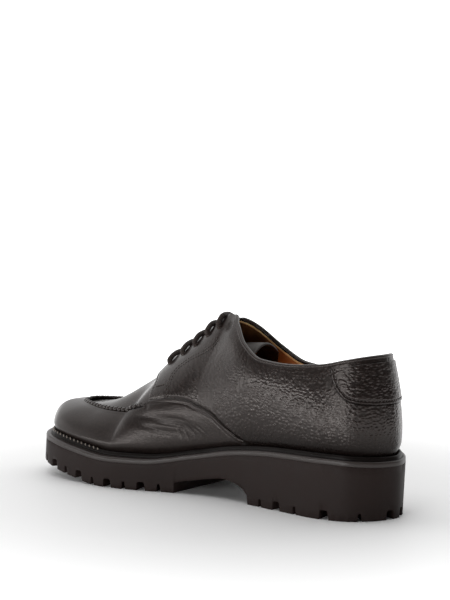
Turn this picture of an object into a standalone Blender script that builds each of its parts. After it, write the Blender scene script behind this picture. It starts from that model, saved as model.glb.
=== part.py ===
"""Apron derby shoe on a lugged rubber sole, right foot, standing empty on the floor.

Metres, +Z up, toe towards +Y, outer side of the foot towards +X. The origin is on the floor,
under the middle of the shoe's box. Tables are in millimetres, in the last's own frame, where
X 0 is the middle of the heel; to_metres() takes them to the part's frame.
"""

import math
from functools import lru_cache

import bmesh
import bpy
import numpy as np
from mathutils import Vector

MM = 0.001

# Driving sizes, in millimetres
TOE_LEAN = 1.6  # the tread's outline sits this much further forward than the sole's top edge
TREAD_WIDTH_SHARE = 0.985
WELT_THICK = 3.4
BEAD_RISE = 2.9  # storm bead of the welt, above its ledge
WELT_INNER = 2.6  # how far the welt reaches in under the upper
INSOLE_THICK = 7.0
WALL = 1.5  # upper's leather and lining together
PANEL = 1.2  # leather of a panel laid on the upper
VAMP_THICK = 1.4  # the vamp's edge stands proud of the quarters
GAP = 0.3
PANEL_GAP = 0.5  # between two curved sheets of leather
TONGUE_THICK = 2.2
BINDING_RADIUS = 1.7
SEAM_RADIUS = 1.3
LACE_RADIUS = 1.9
LACE_ARCH = 1.8  # how far a bar stands up over the open throat
EYELETS = 5

# Sections of the shoe from the back of the heel to the tip of the toe. along, inner and outer
# give the sole's edge; margin is the welt's width; the rest shapes a section's rib: how far it
# leans out and up from its foot, and how far its top handle reaches sideways and down.
SECTION_COLUMNS = (
    "along", "inner", "outer", "margin", "foot_out", "foot_rise", "top_side", "top_drop", "fan",
)
SECTION_ROWS = (
    (-152.5, 0.0, 0.0, 5.9, 4.5, 22.0, 4.8, 24.0, 1.0),
    (-149.0, -12.5, 12.5, 6.0, 4.5, 22.0, 4.8, 24.0, 1.0),
    (-141.8, -22.9, 22.6, 6.3, 4.5, 22.0, 5.0, 24.0, 1.0),
    (-128.0, -33.0, 32.6, 6.6, 4.5, 22.0, 5.2, 24.0, 1.0),
    (-107.0, -36.5, 36.8, 6.6, 4.5, 22.0, 5.0, 22.0, 1.0),
    (-76.0, -33.5, 38.6, 6.2, 5.0, 20.0, 4.5, 20.0, 1.0),
    (-46.0, -30.4, 40.6, 6.2, 6.0, 20.0, 5.5, 20.0, 0.6),
    (-15.0, -29.6, 44.2, 7.0, 7.0, 20.0, 8.0, 19.0, 0.2),
    (0.0, -31.4, 47.0, 7.8, 7.0, 20.0, 11.0, 14.0, 0.0),
    (15.0, -34.6, 49.8, 8.6, 7.0, 19.0, 13.0, 8.0, 0.0),
    (37.0, -43.0, 53.5, 9.6, 6.5, 18.0, 14.0, 7.0, 0.0),
    (61.0, -49.3, 55.5, 10.0, 6.0, 17.0, 14.0, 5.5, 0.0),
    (69.0, -50.2, 55.0, 10.1, 5.5, 16.0, 10.0, 1.5, 0.0),
    (83.0, -50.5, 53.3, 10.2, 5.0, 15.0, 12.0, 0.0, 0.0),
    (107.0, -49.0, 47.0, 10.2, 4.8, 14.0, 19.0, 0.0, 0.2),
    (128.0, -43.5, 36.5, 9.3, 4.8, 15.6, 21.4, 0.0, 0.8),
    (142.0, -31.5, 23.0, 8.4, 5.2, 18.6, 20.0, 0.0, 1.0),
    (149.7, -18.0, 9.5, 8.2, 5.4, 20.0, 20.5, 0.0, 1.0),
    (152.5, -5.0, -5.0, 8.2, 5.4, 20.0, 20.5, 0.0, 1.0),
)

# Where each section's rib ends: on the topline, then along the facing, then on the spine of the vamp.
EDGE_COLUMNS = ("inner_x", "inner_y", "inner_z", "outer_x", "outer_y", "outer_z")
EDGE_ROWS = (
    (0.0, -140.4, 105.2, 0.0, -140.4, 105.2),
    (-9.0, -138.5, 105.0, 9.0, -138.5, 104.8),
    (-16.3, -133.7, 104.2, 16.3, -133.7, 103.4),
    (-22.6, -123.8, 102.0, 22.8, -123.8, 99.6),
    (-26.8, -106.5, 98.2, 27.2, -106.5, 92.8),
    (-28.8, -80.0, 96.4, 29.4, -80.0, 88.2),
    (-28.3, -58.0, 98.0, 29.0, -56.0, 90.6),
    (-24.5, -39.5, 107.6, 25.4, -36.0, 101.6),
    (-16.0, -26.5, 119.8, 16.8, -20.0, 116.2),
    (-6.5, -15.5, 126.0, 6.5, -10.5, 122.4),
    (-6.0, 12.0, 107.6, 6.0, 12.0, 107.6),
    (-5.0, 42.0, 87.2, 5.0, 42.0, 87.2),
    (0.0, 50.0, 81.0, 0.0, 50.0, 81.0),
    (0.0, 64.0, 72.4, 0.0, 64.0, 72.4),
    (-1.0, 87.0, 58.2, -1.0, 87.0, 58.2),
    (-2.0, 104.0, 54.0, -2.0, 104.0, 54.0),
    (-2.6, 114.5, 52.6, -2.6, 114.5, 52.6),
    (-3.0, 120.5, 52.0, -3.0, 120.5, 52.0),
    (-3.0, 123.0, 51.6, -3.0, 123.0, 51.6),
)

# Height of the welt's ledge along the shoe: heel seat, waist, ball and toe spring
LEDGE_COLUMNS = ("along", "height")
LEDGE_ROWS = (
    (-152.5, 39.2),
    (-116.0, 41.0),
    (-76.0, 40.0),
    (-37.0, 36.4),
    (0.0, 29.2),
    (37.0, 23.0),
    (67.0, 22.5),
    (98.0, 25.8),
    (125.0, 29.6),
    (140.0, 30.6),
    (152.5, 30.6),
)

# Height of the tread: heel block, curved breast, arched waist, forefoot and toe spring
TREAD_COLUMNS = ("along", "height")
TREAD_ROWS = (
    (-152.5, 0.0),
    (-50.4, 0.0),
    (-49.6, 6.6),
    (-45.0, 10.6),
    (-38.0, 13.6),
    (-28.0, 15.0),
    (-15.0, 13.2),
    (0.0, 10.2),
    (12.6, 7.4),
    (13.4, 0.0),
    (72.0, 0.0),
    (91.0, 2.6),
    (110.0, 5.8),
    (125.0, 8.6),
    (139.0, 11.6),
    (152.5, 15.6),
)
FOREFOOT_END = 13.4

# Lug notches in the sole's edge
NOTCH_COLUMNS = ("foot_width", "head_width", "rise")
NARROW_NOTCH = dict(zip(NOTCH_COLUMNS, (3.8, 1.4, 5.6)))
WIDE_NOTCH = dict(zip(NOTCH_COLUMNS, (7.4, 5.6, 6.4)))
TREAD_SLOT = dict(zip(NOTCH_COLUMNS, (5.0, 5.0, 5.0)))
TREAD_SLOT_INSET = 19.0
NOTCH_REACH = 12.0
FOREFOOT_NOTCH_PITCH = 13.7
FOREFOOT_NOTCH_START = 11.5
HEEL_NOTCHES_FROM_BACK = (6.8, 29.0, 53.7, 77.7, 94.4, 109.6)

# Front edge of a quarter, from the welt at the waist up to the throat: section and height share
FRONT_COLUMNS = ("section", "share")
QUARTER_FRONT_ROWS = (
    (6.00, -0.06),
    (6.10, 0.10),
    (6.50, 0.232),
    (6.80, 0.308),
    (7.15, 0.356),
    (7.60, 0.378),
    (8.20, 0.391),
    (8.70, 0.404),
    (9.25, 0.431),
    (9.60, 0.456),
    (9.95, 0.479),
    (10.30, 0.497),
    (10.50, 0.505),
    (10.62, 0.56),
    (10.72, 0.64),
    (10.84, 0.71),
    (11.08, 0.78),
    (11.32, 0.85),
    (11.42, 0.91),
    (11.36, 0.955),
    (11.10, 1.01),
    (10.90, 1.06),
)

# Back edge of the vamp, along the quarters: section and height share
VAMP_BACK_ROWS = (
    (5.95, -0.06),
    (6.08, 0.085),
    (6.25, 0.14),
    (6.50, 0.215),
    (6.80, 0.292),
    (7.15, 0.340),
    (7.60, 0.362),
    (8.20, 0.375),
    (8.70, 0.388),
    (9.25, 0.415),
    (9.60, 0.440),
    (9.95, 0.460),
    (10.30, 0.467),
    (10.65, 0.450),
    (10.95, 0.455),
    (11.25, 0.545),
    (11.80, 0.62),
    (12.40, 1.00),
)

VAMP_FOOT = 0.13  # the vamp starts over the welt's bead

# Edge of the heel tab, from the back seam round its lower corner up to the topline
TAB_ROWS = (
    (0.0, 0.575),
    (1.3, 0.58),
    (2.4, 0.605),
    (2.85, 0.645),
    (3.1, 0.70),
    (3.4, 0.82),
    (3.55, 0.94),
    (3.60, 1.06),
)
TAB_TOP = 0.985

# The apron's seam: distance along the shoe and half width of its U
APRON_COLUMNS = ("along", "half_width")
APRON_ROWS = (
    (46.5, 29.1),
    (52.0, 29.2),
    (61.0, 28.6),
    (70.0, 28.0),
    (80.0, 26.6),
    (90.0, 24.0),
    (100.0, 20.8),
    (108.0, 17.6),
    (115.0, 13.6),
    (120.0, 9.6),
    (123.4, 5.0),
    (124.6, 0.0),
)
APRON_MIDDLE = -1.0

# The tongue drops away from the facings into the empty shoe
TONGUE_COLUMNS = ("along", "height", "half_width", "drop")
TONGUE_ROWS = (
    (60.0, 72.3, 8.2, 3.2),
    (45.0, 80.2, 11.0, 4.8),
    (30.0, 88.4, 14.4, 4.6),
    (15.0, 95.6, 17.0, 6.6),
    (0.0, 101.4, 18.4, 9.0),
    (-15.0, 105.8, 19.6, 11.6),
    (-28.0, 108.4, 20.8, 13.8),
    (-42.0, 109.2, 21.0, 14.6),
)

EYELET_SECTIONS = (10.65, 9.2)  # lowest and highest eyelet
EYELET_SHARE = 0.865
WALL_SHARES = np.linspace(0.0, 1.0, 11)  # rows of faces up the upper's wall

COLOURS = {
    "pebbled_leather": ((0.045, 0.036, 0.032, 1.0), 0.5),
    "brown_rubber": ((0.040, 0.029, 0.026, 1.0), 0.7),
    "welt_leather": ((0.062, 0.052, 0.046, 1.0), 0.45),
    "tan_lining": ((0.42, 0.22, 0.09, 1.0), 0.6),
    "waxed_lace": ((0.045, 0.034, 0.030, 1.0), 0.6),
}


class Smooth:
    """A curve through given values that never overshoots them."""

    def __init__(self, knots, values):
        self.knots = np.asarray(knots, float)
        self.values = np.asarray(values, float)
        rise = np.diff(self.values) / np.diff(self.knots)
        before, after = rise[:-1], rise[1:]
        turning = before * after <= 0
        total = np.where(turning, 1.0, before + after)
        inner = np.where(turning, 0.0, 2.0 * before * after / total)
        self.slopes = np.concatenate([rise[:1], inner, rise[-1:]])

    def __call__(self, place):
        last = len(self.knots) - 2
        i = min(max(int(np.searchsorted(self.knots, place, side="right")) - 1, 0), last)
        step = self.knots[i + 1] - self.knots[i]
        t = min(max((place - self.knots[i]) / step, 0.0), 1.0)
        ease = t * t * (3.0 - 2.0 * t)
        start, end = self.slopes[i] * step, self.slopes[i + 1] * step
        bend = start * t * (1.0 - t) ** 2 - end * t * t * (1.0 - t)
        return self.values[i] + (self.values[i + 1] - self.values[i]) * ease + bend


def columns_of(names, rows):
    """The table's columns by name."""
    return dict(zip(names, np.array(rows, float).T))


SECTIONS = columns_of(SECTION_COLUMNS, SECTION_ROWS)
EDGES = columns_of(EDGE_COLUMNS, EDGE_ROWS)
TOE = len(SECTION_ROWS) - 1
LOOP = 2 * TOE  # sections met on the way round the shoe, by the inner side to the toe and back


def around(inner, outer):
    """A closed curve of values round the shoe."""
    ring = np.concatenate([inner, outer[-2:0:-1]])
    lap = 4
    knots = np.arange(-lap, LOOP + lap + 1)
    return Smooth(knots, ring[knots % LOOP])


RING = {name: around(values, values) for name, values in SECTIONS.items()}
RING["edge_x"] = around(SECTIONS["inner"], SECTIONS["outer"])
for axis in "xyz":
    RING["top_" + axis] = around(EDGES["inner_" + axis], EDGES["outer_" + axis])

ledge = Smooth(*columns_of(LEDGE_COLUMNS, LEDGE_ROWS).values())
tread = Smooth(*columns_of(TREAD_COLUMNS, TREAD_ROWS).values())
section_at = Smooth(SECTIONS["along"], np.arange(TOE + 1))

BOX_MIDDLE = np.array(
    [
        (SECTIONS["inner"].min() + SECTIONS["outer"].max()) / 2,
        TOE_LEAN / 2,
        0.0,
    ]
)


def to_metres(point):
    """A point of the last's frame in the part's frame."""
    return Vector((np.asarray(point, float) - BOX_MIDDLE) * MM)


def outline(place):
    """The sole's edge at a section round the shoe, seen from above."""
    return np.array([RING["edge_x"](place), RING["along"](place)])


def outward(place):
    """The way out of the shoe, across its edge."""
    step = 0.02
    run = outline(place + step) - outline(place - step)
    run /= np.linalg.norm(run)
    return np.array([-run[1], run[0]])


def inset(place, distance, height):
    """A point that far in from the sole's edge, that far above the welt's ledge."""
    x, y = outline(place) - outward(place) * distance
    return np.array([x, y, ledge(y) + height])


def sideways(place):
    """Straight out to the side along the foot, turning to follow the edge round heel and toe."""
    side = np.array([-1.0 if place % LOOP <= TOE else 1.0, 0.0])
    way = side + (outward(place) - side) * RING["fan"](place)
    return way / np.linalg.norm(way)


def rib(place, share):
    """The outside of the upper: a section's rib from its foot on the welt (0) to its top edge (1)."""
    place = place % LOOP
    foot = inset(place, RING["margin"](place), GAP)
    top = np.array([RING["top_" + axis](place) for axis in "xyz"])
    lean = np.append(outward(place) * RING["foot_out"](place), RING["foot_rise"](place))
    reach = np.append(sideways(place) * RING["top_side"](place), -RING["top_drop"](place))
    back = 1.0 - share
    return (
        back**3 * foot
        + 3 * back**2 * share * (foot + lean)
        + 3 * back * share**2 * (top + reach)
        + share**3 * top
    )


def leather(place, share, lift=0.0):
    """A point that far off the upper's outside, along its normal."""
    step = 0.02
    near = min(max(share, step), 1.0 - step)
    up = rib(place, near + step) - rib(place, near - step)
    along = rib(place + step, near) - rib(place - step, near)
    normal = np.cross(up, along)
    return rib(place, share) + normal / np.linalg.norm(normal) * lift


def material_of(name):
    found = bpy.data.materials.get(name)
    if found:
        return found
    colour, roughness = COLOURS[name]
    made = bpy.data.materials.new(name)
    made.use_nodes = True
    shader = made.node_tree.nodes["Principled BSDF"]
    shader.inputs["Base Color"].default_value = colour
    shader.inputs["Roughness"].default_value = roughness
    shader.inputs["Metallic"].default_value = 0.0
    return made


def collection_of(name):
    found = bpy.data.collections.get(name)
    if found is None:
        found = bpy.data.collections.new(name)
        bpy.context.scene.collection.children.link(found)
    return found


def object_from(bm, name, material, collection="derby_shoe", sharp_angle=40.0):
    mesh = bpy.data.meshes.new(name)
    bm.to_mesh(mesh)
    bm.free()
    mesh.shade_smooth()
    mesh.set_sharp_from_angle(angle=math.radians(sharp_angle))
    made = bpy.data.objects.new(name, mesh)
    mesh.materials.append(material_of(material))
    collection_of(collection).objects.link(made)
    return made


def cutter_from(bm, name, material):
    """A hidden form that only cuts another."""
    cutter = object_from(bm, name, material, "cutters")
    cutter.hide_render = True
    cutter.display_type = "WIRE"
    return cutter


def grid_cells(columns, rows):
    """A flat grid whose vertices stand at whole numbers: column in X, row in Y."""
    bm = bmesh.new()
    bmesh.ops.create_grid(bm, x_segments=len(columns) - 1, y_segments=len(rows) - 1, size=0.5)
    for vertex in bm.verts:
        vertex.co.x = round((vertex.co.x + 0.5) * (len(columns) - 1))
        vertex.co.y = round((vertex.co.y + 0.5) * (len(rows) - 1))
    return bm


def weld(bm):
    bmesh.ops.remove_doubles(bm, verts=bm.verts[:], dist=1e-6)
    bmesh.ops.dissolve_degenerate(bm, edges=bm.edges[:], dist=1e-6)


def sheet(columns, rows, place):
    """A grid laid on place(column, row) and welded where its edges meet."""
    bm = grid_cells(columns, rows)
    for vertex in bm.verts:
        vertex.co = to_metres(place(columns[int(vertex.co.x)], rows[int(vertex.co.y)]))
    weld(bm)
    return bm


def slab(columns, rows, lower, upper):
    """A closed sheet of material between lower(column, row) and upper(column, row)."""
    bm = grid_cells(columns, rows)
    raised = bmesh.ops.extrude_face_region(bm, geom=bm.faces[:])["geom"]
    tops = {item for item in raised if isinstance(item, bmesh.types.BMVert)}
    for vertex in bm.verts:
        place = upper if vertex in tops else lower
        vertex.co = to_metres(place(columns[int(vertex.co.x)], rows[int(vertex.co.y)]))
    weld(bm)
    bmesh.ops.recalc_face_normals(bm, faces=bm.faces[:])
    return bm


def tube(name, points, radius, material):
    """A round cord along the points, with closed ends."""
    curve = bpy.data.curves.new(name, "CURVE")
    curve.dimensions = "3D"
    curve.bevel_depth = radius * MM
    curve.bevel_resolution = 1
    curve.use_fill_caps = True
    spline = curve.splines.new("POLY")
    spline.points.add(len(points) - 1)
    for spot, point in zip(spline.points, points):
        spot.co = (*to_metres(point), 1.0)
    spline.use_smooth = True
    made = bpy.data.objects.new(name, curve)
    curve.materials.append(material_of(material))
    collection_of("derby_shoe").objects.link(made)
    return made


def across_sole(inner_point, outer_point, share):
    return inner_point + (outer_point - inner_point) * share


def tread_edge(place):
    """The tread's edge at a section, seen from above."""
    x, y = outline(place)
    return np.array([x * TREAD_WIDTH_SHARE, y + TOE_LEAN])


def sole_body():
    """The rubber unit sole before its lugs are cut: forefoot, waist and heel in one piece."""
    steps = [section_at(along) for along, height in TREAD_ROWS]
    stations = np.unique(np.round(np.concatenate([np.arange(0, TOE + 0.25, 0.5), steps]), 3))
    shares = np.linspace(0.0, 1.0, 5)

    def lower(share, station):
        x, y = across_sole(tread_edge(station), tread_edge(LOOP - station), share)
        return np.array([x, y, tread(RING["along"](station))])

    def upper(share, station):
        x, y = across_sole(outline(station), outline(LOOP - station), share)
        return np.array([x, y, ledge(y) - WELT_THICK - GAP])

    return slab(shares, stations, lower, upper)


def edge_lengths():
    """Distance along the inner edge of the tread from the back of the heel, at fine sections."""
    places = np.linspace(0.0, TOE, 40 * TOE + 1)
    points = np.array([tread_edge(place) for place in places])
    runs = np.linalg.norm(np.diff(points, axis=0), axis=1)
    return places, np.concatenate([[0.0], np.cumsum(runs)])


def notch_places():
    """Sections of the edge notches on one side, each with its shape: narrow and wide in turn."""
    places, lengths = edge_lengths()
    forefoot = np.interp(FOREFOOT_END, SECTIONS["along"], np.arange(TOE + 1))
    start = np.interp(forefoot, places, lengths) + FOREFOOT_NOTCH_START
    count = int((lengths[-1] - start) / FOREFOOT_NOTCH_PITCH)
    for i in range(count):
        shape = WIDE_NOTCH if i % 2 else NARROW_NOTCH
        yield float(np.interp(start + i * FOREFOOT_NOTCH_PITCH, lengths, places)), shape
    for i, run in enumerate(HEEL_NOTCHES_FROM_BACK):
        shape = NARROW_NOTCH if i % 2 else WIDE_NOTCH
        yield float(np.interp(run, lengths, places)), shape


def add_wedge(bm, middle, run, length, notch):
    """A cutter block of the notch's widths and rise, that long along run, standing through the tread."""
    below = 2.0
    along = np.array([-run[1], run[0]])
    made = bmesh.ops.create_cube(bm, size=1.0)["verts"]
    for vertex in made:
        head = vertex.co.z > 0
        width = notch["head_width"] if head else notch["foot_width"]
        rise = notch["rise"] if head else -below
        spot = middle + run * vertex.co.x * length + along * vertex.co.y * width
        vertex.co = to_metres((*spot, tread(middle[1]) + rise))


def lug_cutters():
    """All the notches and slots of the tread, as one hidden cutter."""
    bm = bmesh.new()
    outside = 4.0
    for inner_place, notch in notch_places():
        for place in (inner_place, LOOP - inner_place):
            out = outward(place)
            middle = tread_edge(place) + out * (outside - NOTCH_REACH) / 2
            add_wedge(bm, middle, out, outside + NOTCH_REACH, notch)
        inner_edge, outer_edge = tread_edge(inner_place), tread_edge(LOOP - inner_place)
        width = np.linalg.norm(outer_edge - inner_edge)
        length = width - 2 * TREAD_SLOT_INSET
        if notch is WIDE_NOTCH and length > TREAD_SLOT_INSET:
            run = (outer_edge - inner_edge) / width
            add_wedge(bm, (inner_edge + outer_edge) / 2, run, length, TREAD_SLOT)
    bmesh.ops.recalc_face_normals(bm, faces=bm.faces[:])
    return cutter_from(bm, "lug_cutter", "brown_rubber")


def make_outsole():
    outsole = object_from(sole_body(), "outsole", "brown_rubber")
    cut = outsole.modifiers.new("lugs", "BOOLEAN")
    cut.operation = "DIFFERENCE"
    cut.object = lug_cutters()
    cut.use_self = True


def make_welt():
    """Storm welt: a ledge to the sole's edge and a bead turned up against the upper."""

    def section(place):
        """Distance in from the edge and height over the ledge, round the welt's section."""
        foot = RING["margin"](place)
        thick = -WELT_THICK
        return (
            (0.8, thick),
            (0.0, thick + 0.8),
            (0.0, -0.9),
            (0.8, 0.0),
            (foot - 3.9, 0.1),
            (foot - 3.6, 1.6),
            (foot - 3.0, BEAD_RISE - 0.4),
            (foot - 2.4, BEAD_RISE),
            (foot - 1.8, BEAD_RISE - 0.9),
            (foot - 0.9, 0.0),
            (foot + WELT_INNER, 0.0),
            (foot + WELT_INNER, thick),
        )

    places = np.linspace(0.0, LOOP, 2 * LOOP + 1)
    corners = np.append(np.arange(len(section(0.0))), 0)
    bm = sheet(places, corners, lambda place, corner: inset(place, *section(place)[corner]))
    bmesh.ops.recalc_face_normals(bm, faces=bm.faces[:])
    object_from(bm, "welt", "welt_leather")


def make_insole():
    """Footbed inside the welt, on the rubber."""

    def face(height):
        def place(share, station):
            distance = RING["margin"](station) + WELT_INNER + GAP
            inner = inset(station, distance, height)
            outer = inset(LOOP - station, distance, height)
            return across_sole(inner, outer, share)

        return place

    stations = np.linspace(0.0, TOE, 2 * TOE + 1)
    shares = np.linspace(0.0, 1.0, 3)
    bm = slab(shares, stations, face(-WELT_THICK), face(INSOLE_THICK - WELT_THICK))
    object_from(bm, "insole", "tan_lining")


def make_upper():
    """Vamp, sides and lining in one hollow wall, open at the collar, the throat and underneath."""
    places = np.linspace(0.0, LOOP, 2 * LOOP + 1)
    bm = sheet(places, WALL_SHARES, rib)
    bmesh.ops.reverse_faces(bm, faces=bm.faces[:])
    upper = object_from(bm, "upper", "pebbled_leather")
    wall = upper.modifiers.new("wall", "SOLIDIFY")
    wall.thickness = WALL * MM
    wall.offset = -1.0


def mirrored(place, side):
    """The same section on the inner (-1) or the outer (+1) side."""
    return place if side < 0 else LOOP - place


def panel(columns, rows, spot, lift, thick=PANEL):
    """Leather laid on the upper: spot(column, row) gives its section and height share."""
    return slab(
        columns,
        rows,
        lambda column, row: leather(*spot(column, row), lift),
        lambda column, row: leather(*spot(column, row), lift + thick),
    )


def cut_panel(name, sections, shares, lift, thick, spot, columns, rows):
    """A panel whose faces run with the upper's, cut to the outline that spot(column, row) fills."""
    form = panel(sections, shares, lambda section, share: (section, share), lift, thick)
    made = object_from(form, name, "pebbled_leather")
    depth, height = 4.0, 10.0
    cut = made.modifiers.new("outline", "BOOLEAN")
    cut.operation = "INTERSECT"
    cutter = panel(columns, rows, spot, -depth, height)
    cut.object = cutter_from(cutter, name + "_cutter", "pebbled_leather")


def edge_curves(rows):
    """A panel's edge: section and height share along the rows of its table."""
    edge = columns_of(FRONT_COLUMNS, rows)
    steps = np.arange(len(rows))
    return Smooth(steps, edge["section"]), Smooth(steps, edge["share"]), steps[-1]


def make_quarters():
    """The two back panels, from the heel seam to the throat, each with its facing for the lace."""
    front_section, front_share, last = edge_curves(QUARTER_FRONT_ROWS)
    seam_gap, past_seam, furthest = 0.02, -0.5, 12.0
    low, high = front_share(0), front_share(last)
    sections = np.append(seam_gap, np.arange(0.5, furthest + 0.1, 0.5))
    for side, name in ((-1, "quarter_inner"), (1, "quarter_outer")):

        def spot(column, row, side=side):
            level = low + (high - low) * row / last
            section = past_seam + (front_section(row) - past_seam) * column
            share = level + (front_share(row) - level) * column**2
            return mirrored(section, side), share

        own = [mirrored(section, side) for section in sections]
        columns, rows = np.linspace(0.0, 1.0, 13), np.linspace(0.0, last, 2 * last + 1)
        cut_panel(name, own, WALL_SHARES[1:], PANEL_GAP, PANEL, spot, columns, rows)


def make_heel_tab():
    """Patch over the top of the back seam, with round lower corners."""
    edge_section, edge_share, last = edge_curves(TAB_ROWS)

    def spot(turn, level):
        low = edge_share(abs(turn))
        return math.copysign(edge_section(abs(turn)), turn), low + (edge_share(last) + 0.02 - low) * level

    sections = np.arange(-4.0, 4.1, 0.5)
    shares = np.append(WALL_SHARES[5:-1], TAB_TOP)
    turns, levels = np.linspace(-last, last, 4 * last + 1), np.linspace(0.0, 1.0, 4)
    cut_panel("heel_tab", sections, shares, PANEL + PANEL_GAP + GAP, 1.0, spot, turns, levels)


def past_top(place, distance):
    """A point that far beyond the upper's top edge, square to the edge and in line with the leather."""
    step = 0.05
    edge = rib(place + step, 1.0) - rib(place - step, 1.0)
    face = leather(place, 1.0, 1.0) - rib(place, 1.0)
    way = np.cross(edge, face)
    return rib(place, 1.0) + way / np.linalg.norm(way) * distance


def make_binding():
    """Rolled leather edge along the topline, from facing to facing round the heel."""
    places = np.linspace(-8.7, 8.7, 41)
    points = [past_top(place, BINDING_RADIUS + 2 * GAP) for place in places]
    tube("collar_binding", points, BINDING_RADIUS, "pebbled_leather")


@lru_cache
def vamp_samples(side):
    """Section, height share and outside point at fine steps over one side of the vamp."""
    stations = np.linspace(10.5, TOE, 76)
    shares = np.linspace(0.4, 1.0, 41)
    spots = [(mirrored(station, side), share) for station in stations for share in shares]
    return spots, np.array([rib(*spot) for spot in spots])


def on_vamp(x, y, lift):
    """The point that far off the vamp, over a spot of the plan."""
    spots, points = vamp_samples(-1 if x < APRON_MIDDLE else 1)
    nearest = np.argmin(np.hypot(points[:, 0] - x, points[:, 1] - y))
    return leather(*spots[nearest], lift)


def apron_edge():
    """Half the apron's width at a distance along the shoe."""
    apron = columns_of(APRON_COLUMNS, APRON_ROWS)
    return Smooth(apron["along"], apron["half_width"])


def vamp_top(place):
    """Height share where the vamp ends: along the quarters' edge, then beside the apron's seam."""
    back = columns_of(FRONT_COLUMNS, VAMP_BACK_ROWS)
    under_quarter = Smooth(back["section"], back["share"])(min(place, LOOP - place))
    half_width, clear = apron_edge(), SEAM_RADIUS + 2 * GAP
    first, last = APRON_ROWS[0][0] - clear, APRON_ROWS[-1][0] + clear
    for share in np.linspace(0.3, 1.0, 141):
        x, y, z = rib(place, share)
        if first < y < last and abs(x - APRON_MIDDLE) < half_width(y - clear) + clear:
            return min(under_quarter, share)
    return under_quarter


def make_vamp():
    """Side wall of the toe in one U-shaped panel, from quarter to quarter below the apron's seam."""
    start, front = 6.25, 11.0
    back = np.arange(start, front, 0.25)
    sections = np.concatenate([back, np.arange(front, LOOP - front + 0.1, 0.5), LOOP - back[::-1]])
    tops = {section: vamp_top(section) for section in sections}
    bm = panel(
        sections,
        np.append(VAMP_FOOT, WALL_SHARES[2:]),
        lambda section, share: (section, min(share, tops[section])),
        PANEL_GAP,
        VAMP_THICK,
    )
    object_from(bm, "vamp", "pebbled_leather")


def make_apron_seam():
    """Raised hand-sewn seam in a U round the top of the toe."""
    apron = columns_of(APRON_COLUMNS, APRON_ROWS)
    steps = np.arange(len(APRON_ROWS))
    along, half_width = Smooth(steps, apron["along"]), Smooth(steps, apron["half_width"])
    points = []
    for turn in np.linspace(-steps[-1], steps[-1], 29):
        step = steps[-1] - abs(turn)
        x = APRON_MIDDLE + math.copysign(half_width(step), turn)
        points.append(on_vamp(x, along(step), SEAM_RADIUS + GAP))
    tube("apron_seam", points, SEAM_RADIUS, "pebbled_leather")


def make_tongue():
    """Arched tongue from under the vamp, dropped back into the empty shoe."""
    rows = columns_of(TONGUE_COLUMNS, TONGUE_ROWS)
    steps = np.arange(len(TONGUE_ROWS))
    line = {name: Smooth(steps, rows[name]) for name in TONGUE_COLUMNS}

    def face(depth):
        def place(across, step):
            x = across * line["half_width"](step)
            height = line["height"](step) - line["drop"](step) * across**2 - depth
            return np.array([x, line["along"](step), height])

        return place

    columns = np.linspace(-1.0, 1.0, 7)
    bm = slab(columns, np.linspace(0.0, steps[-1], 15), face(TONGUE_THICK), face(0.0))
    object_from(bm, "tongue", "pebbled_leather")


def make_lace():
    """One bar of the lace for each pair of eyelets, straight across the throat."""
    lift = PANEL + PANEL_GAP + GAP + LACE_RADIUS
    for i, station in enumerate(np.linspace(*EYELET_SECTIONS, EYELETS)):
        inner = [leather(station, share, lift) for share in (EYELET_SHARE, 0.93, 0.985)]
        outer = [leather(LOOP - station, share, lift) for share in (0.985, 0.93, EYELET_SHARE)]
        crown = []
        for run in (0.2, 0.4, 0.6, 0.8):
            hump = np.array([0.0, 0.0, LACE_ARCH * 4 * run * (1 - run)])
            crown.append(inner[-1] + (outer[0] - inner[-1]) * run + hump)
        tube(f"lace_bar_{i + 1}", [*inner, *crown, *outer], LACE_RADIUS, "waxed_lace")


def clear_scene():
    for item in list(bpy.data.objects):
        bpy.data.objects.remove(item, do_unlink=True)


def main():
    clear_scene()
    make_outsole()
    make_welt()
    make_insole()
    make_upper()
    make_quarters()
    make_vamp()
    make_heel_tab()
    make_binding()
    make_apron_seam()
    make_tongue()
    make_lace()


if __name__ == "__main__":
    main()
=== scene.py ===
"""Looks of an apron derby shoe: leather, lining, stitching, lace, storm welt and lugged rubber.

Laid out as an add-on: every piece of the shoe has an operator, its sizes and colours are properties,
and a panel in the sidebar lists them. The tables are in millimetres in the last's own frame, where
X 0 is the middle of the heel, +Y points to the toe and +Z up; metres() takes points to the part's frame.
"""

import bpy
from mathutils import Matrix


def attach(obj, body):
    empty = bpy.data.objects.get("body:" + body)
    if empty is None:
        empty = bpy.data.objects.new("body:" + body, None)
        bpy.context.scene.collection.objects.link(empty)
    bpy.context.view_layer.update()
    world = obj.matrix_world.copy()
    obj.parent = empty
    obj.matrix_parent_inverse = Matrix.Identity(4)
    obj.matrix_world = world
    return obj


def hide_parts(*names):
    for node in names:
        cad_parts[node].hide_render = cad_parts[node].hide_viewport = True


bl_info = {
    "name": "Derby shoe looks", "version": (1, 0, 0), "blender": (4, 5, 0),
    "location": "View3D > Sidebar > Derby shoe",
    "description": "Dresses the packed derby shoe in leather, thread, lace and rubber",
    "category": "Mesh",
}

import math

import bmesh
import bpy
import numpy as np
from bpy.props import FloatProperty, FloatVectorProperty, PointerProperty
from mathutils import Matrix, Vector

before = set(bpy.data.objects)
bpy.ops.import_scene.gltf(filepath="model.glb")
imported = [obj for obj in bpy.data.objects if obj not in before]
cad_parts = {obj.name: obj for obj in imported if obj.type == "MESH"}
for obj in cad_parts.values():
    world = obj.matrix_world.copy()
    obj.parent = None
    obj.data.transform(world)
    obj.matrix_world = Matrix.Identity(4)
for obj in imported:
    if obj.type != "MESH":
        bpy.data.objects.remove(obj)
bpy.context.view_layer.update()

MM = 0.001
BODY = "root"

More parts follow.
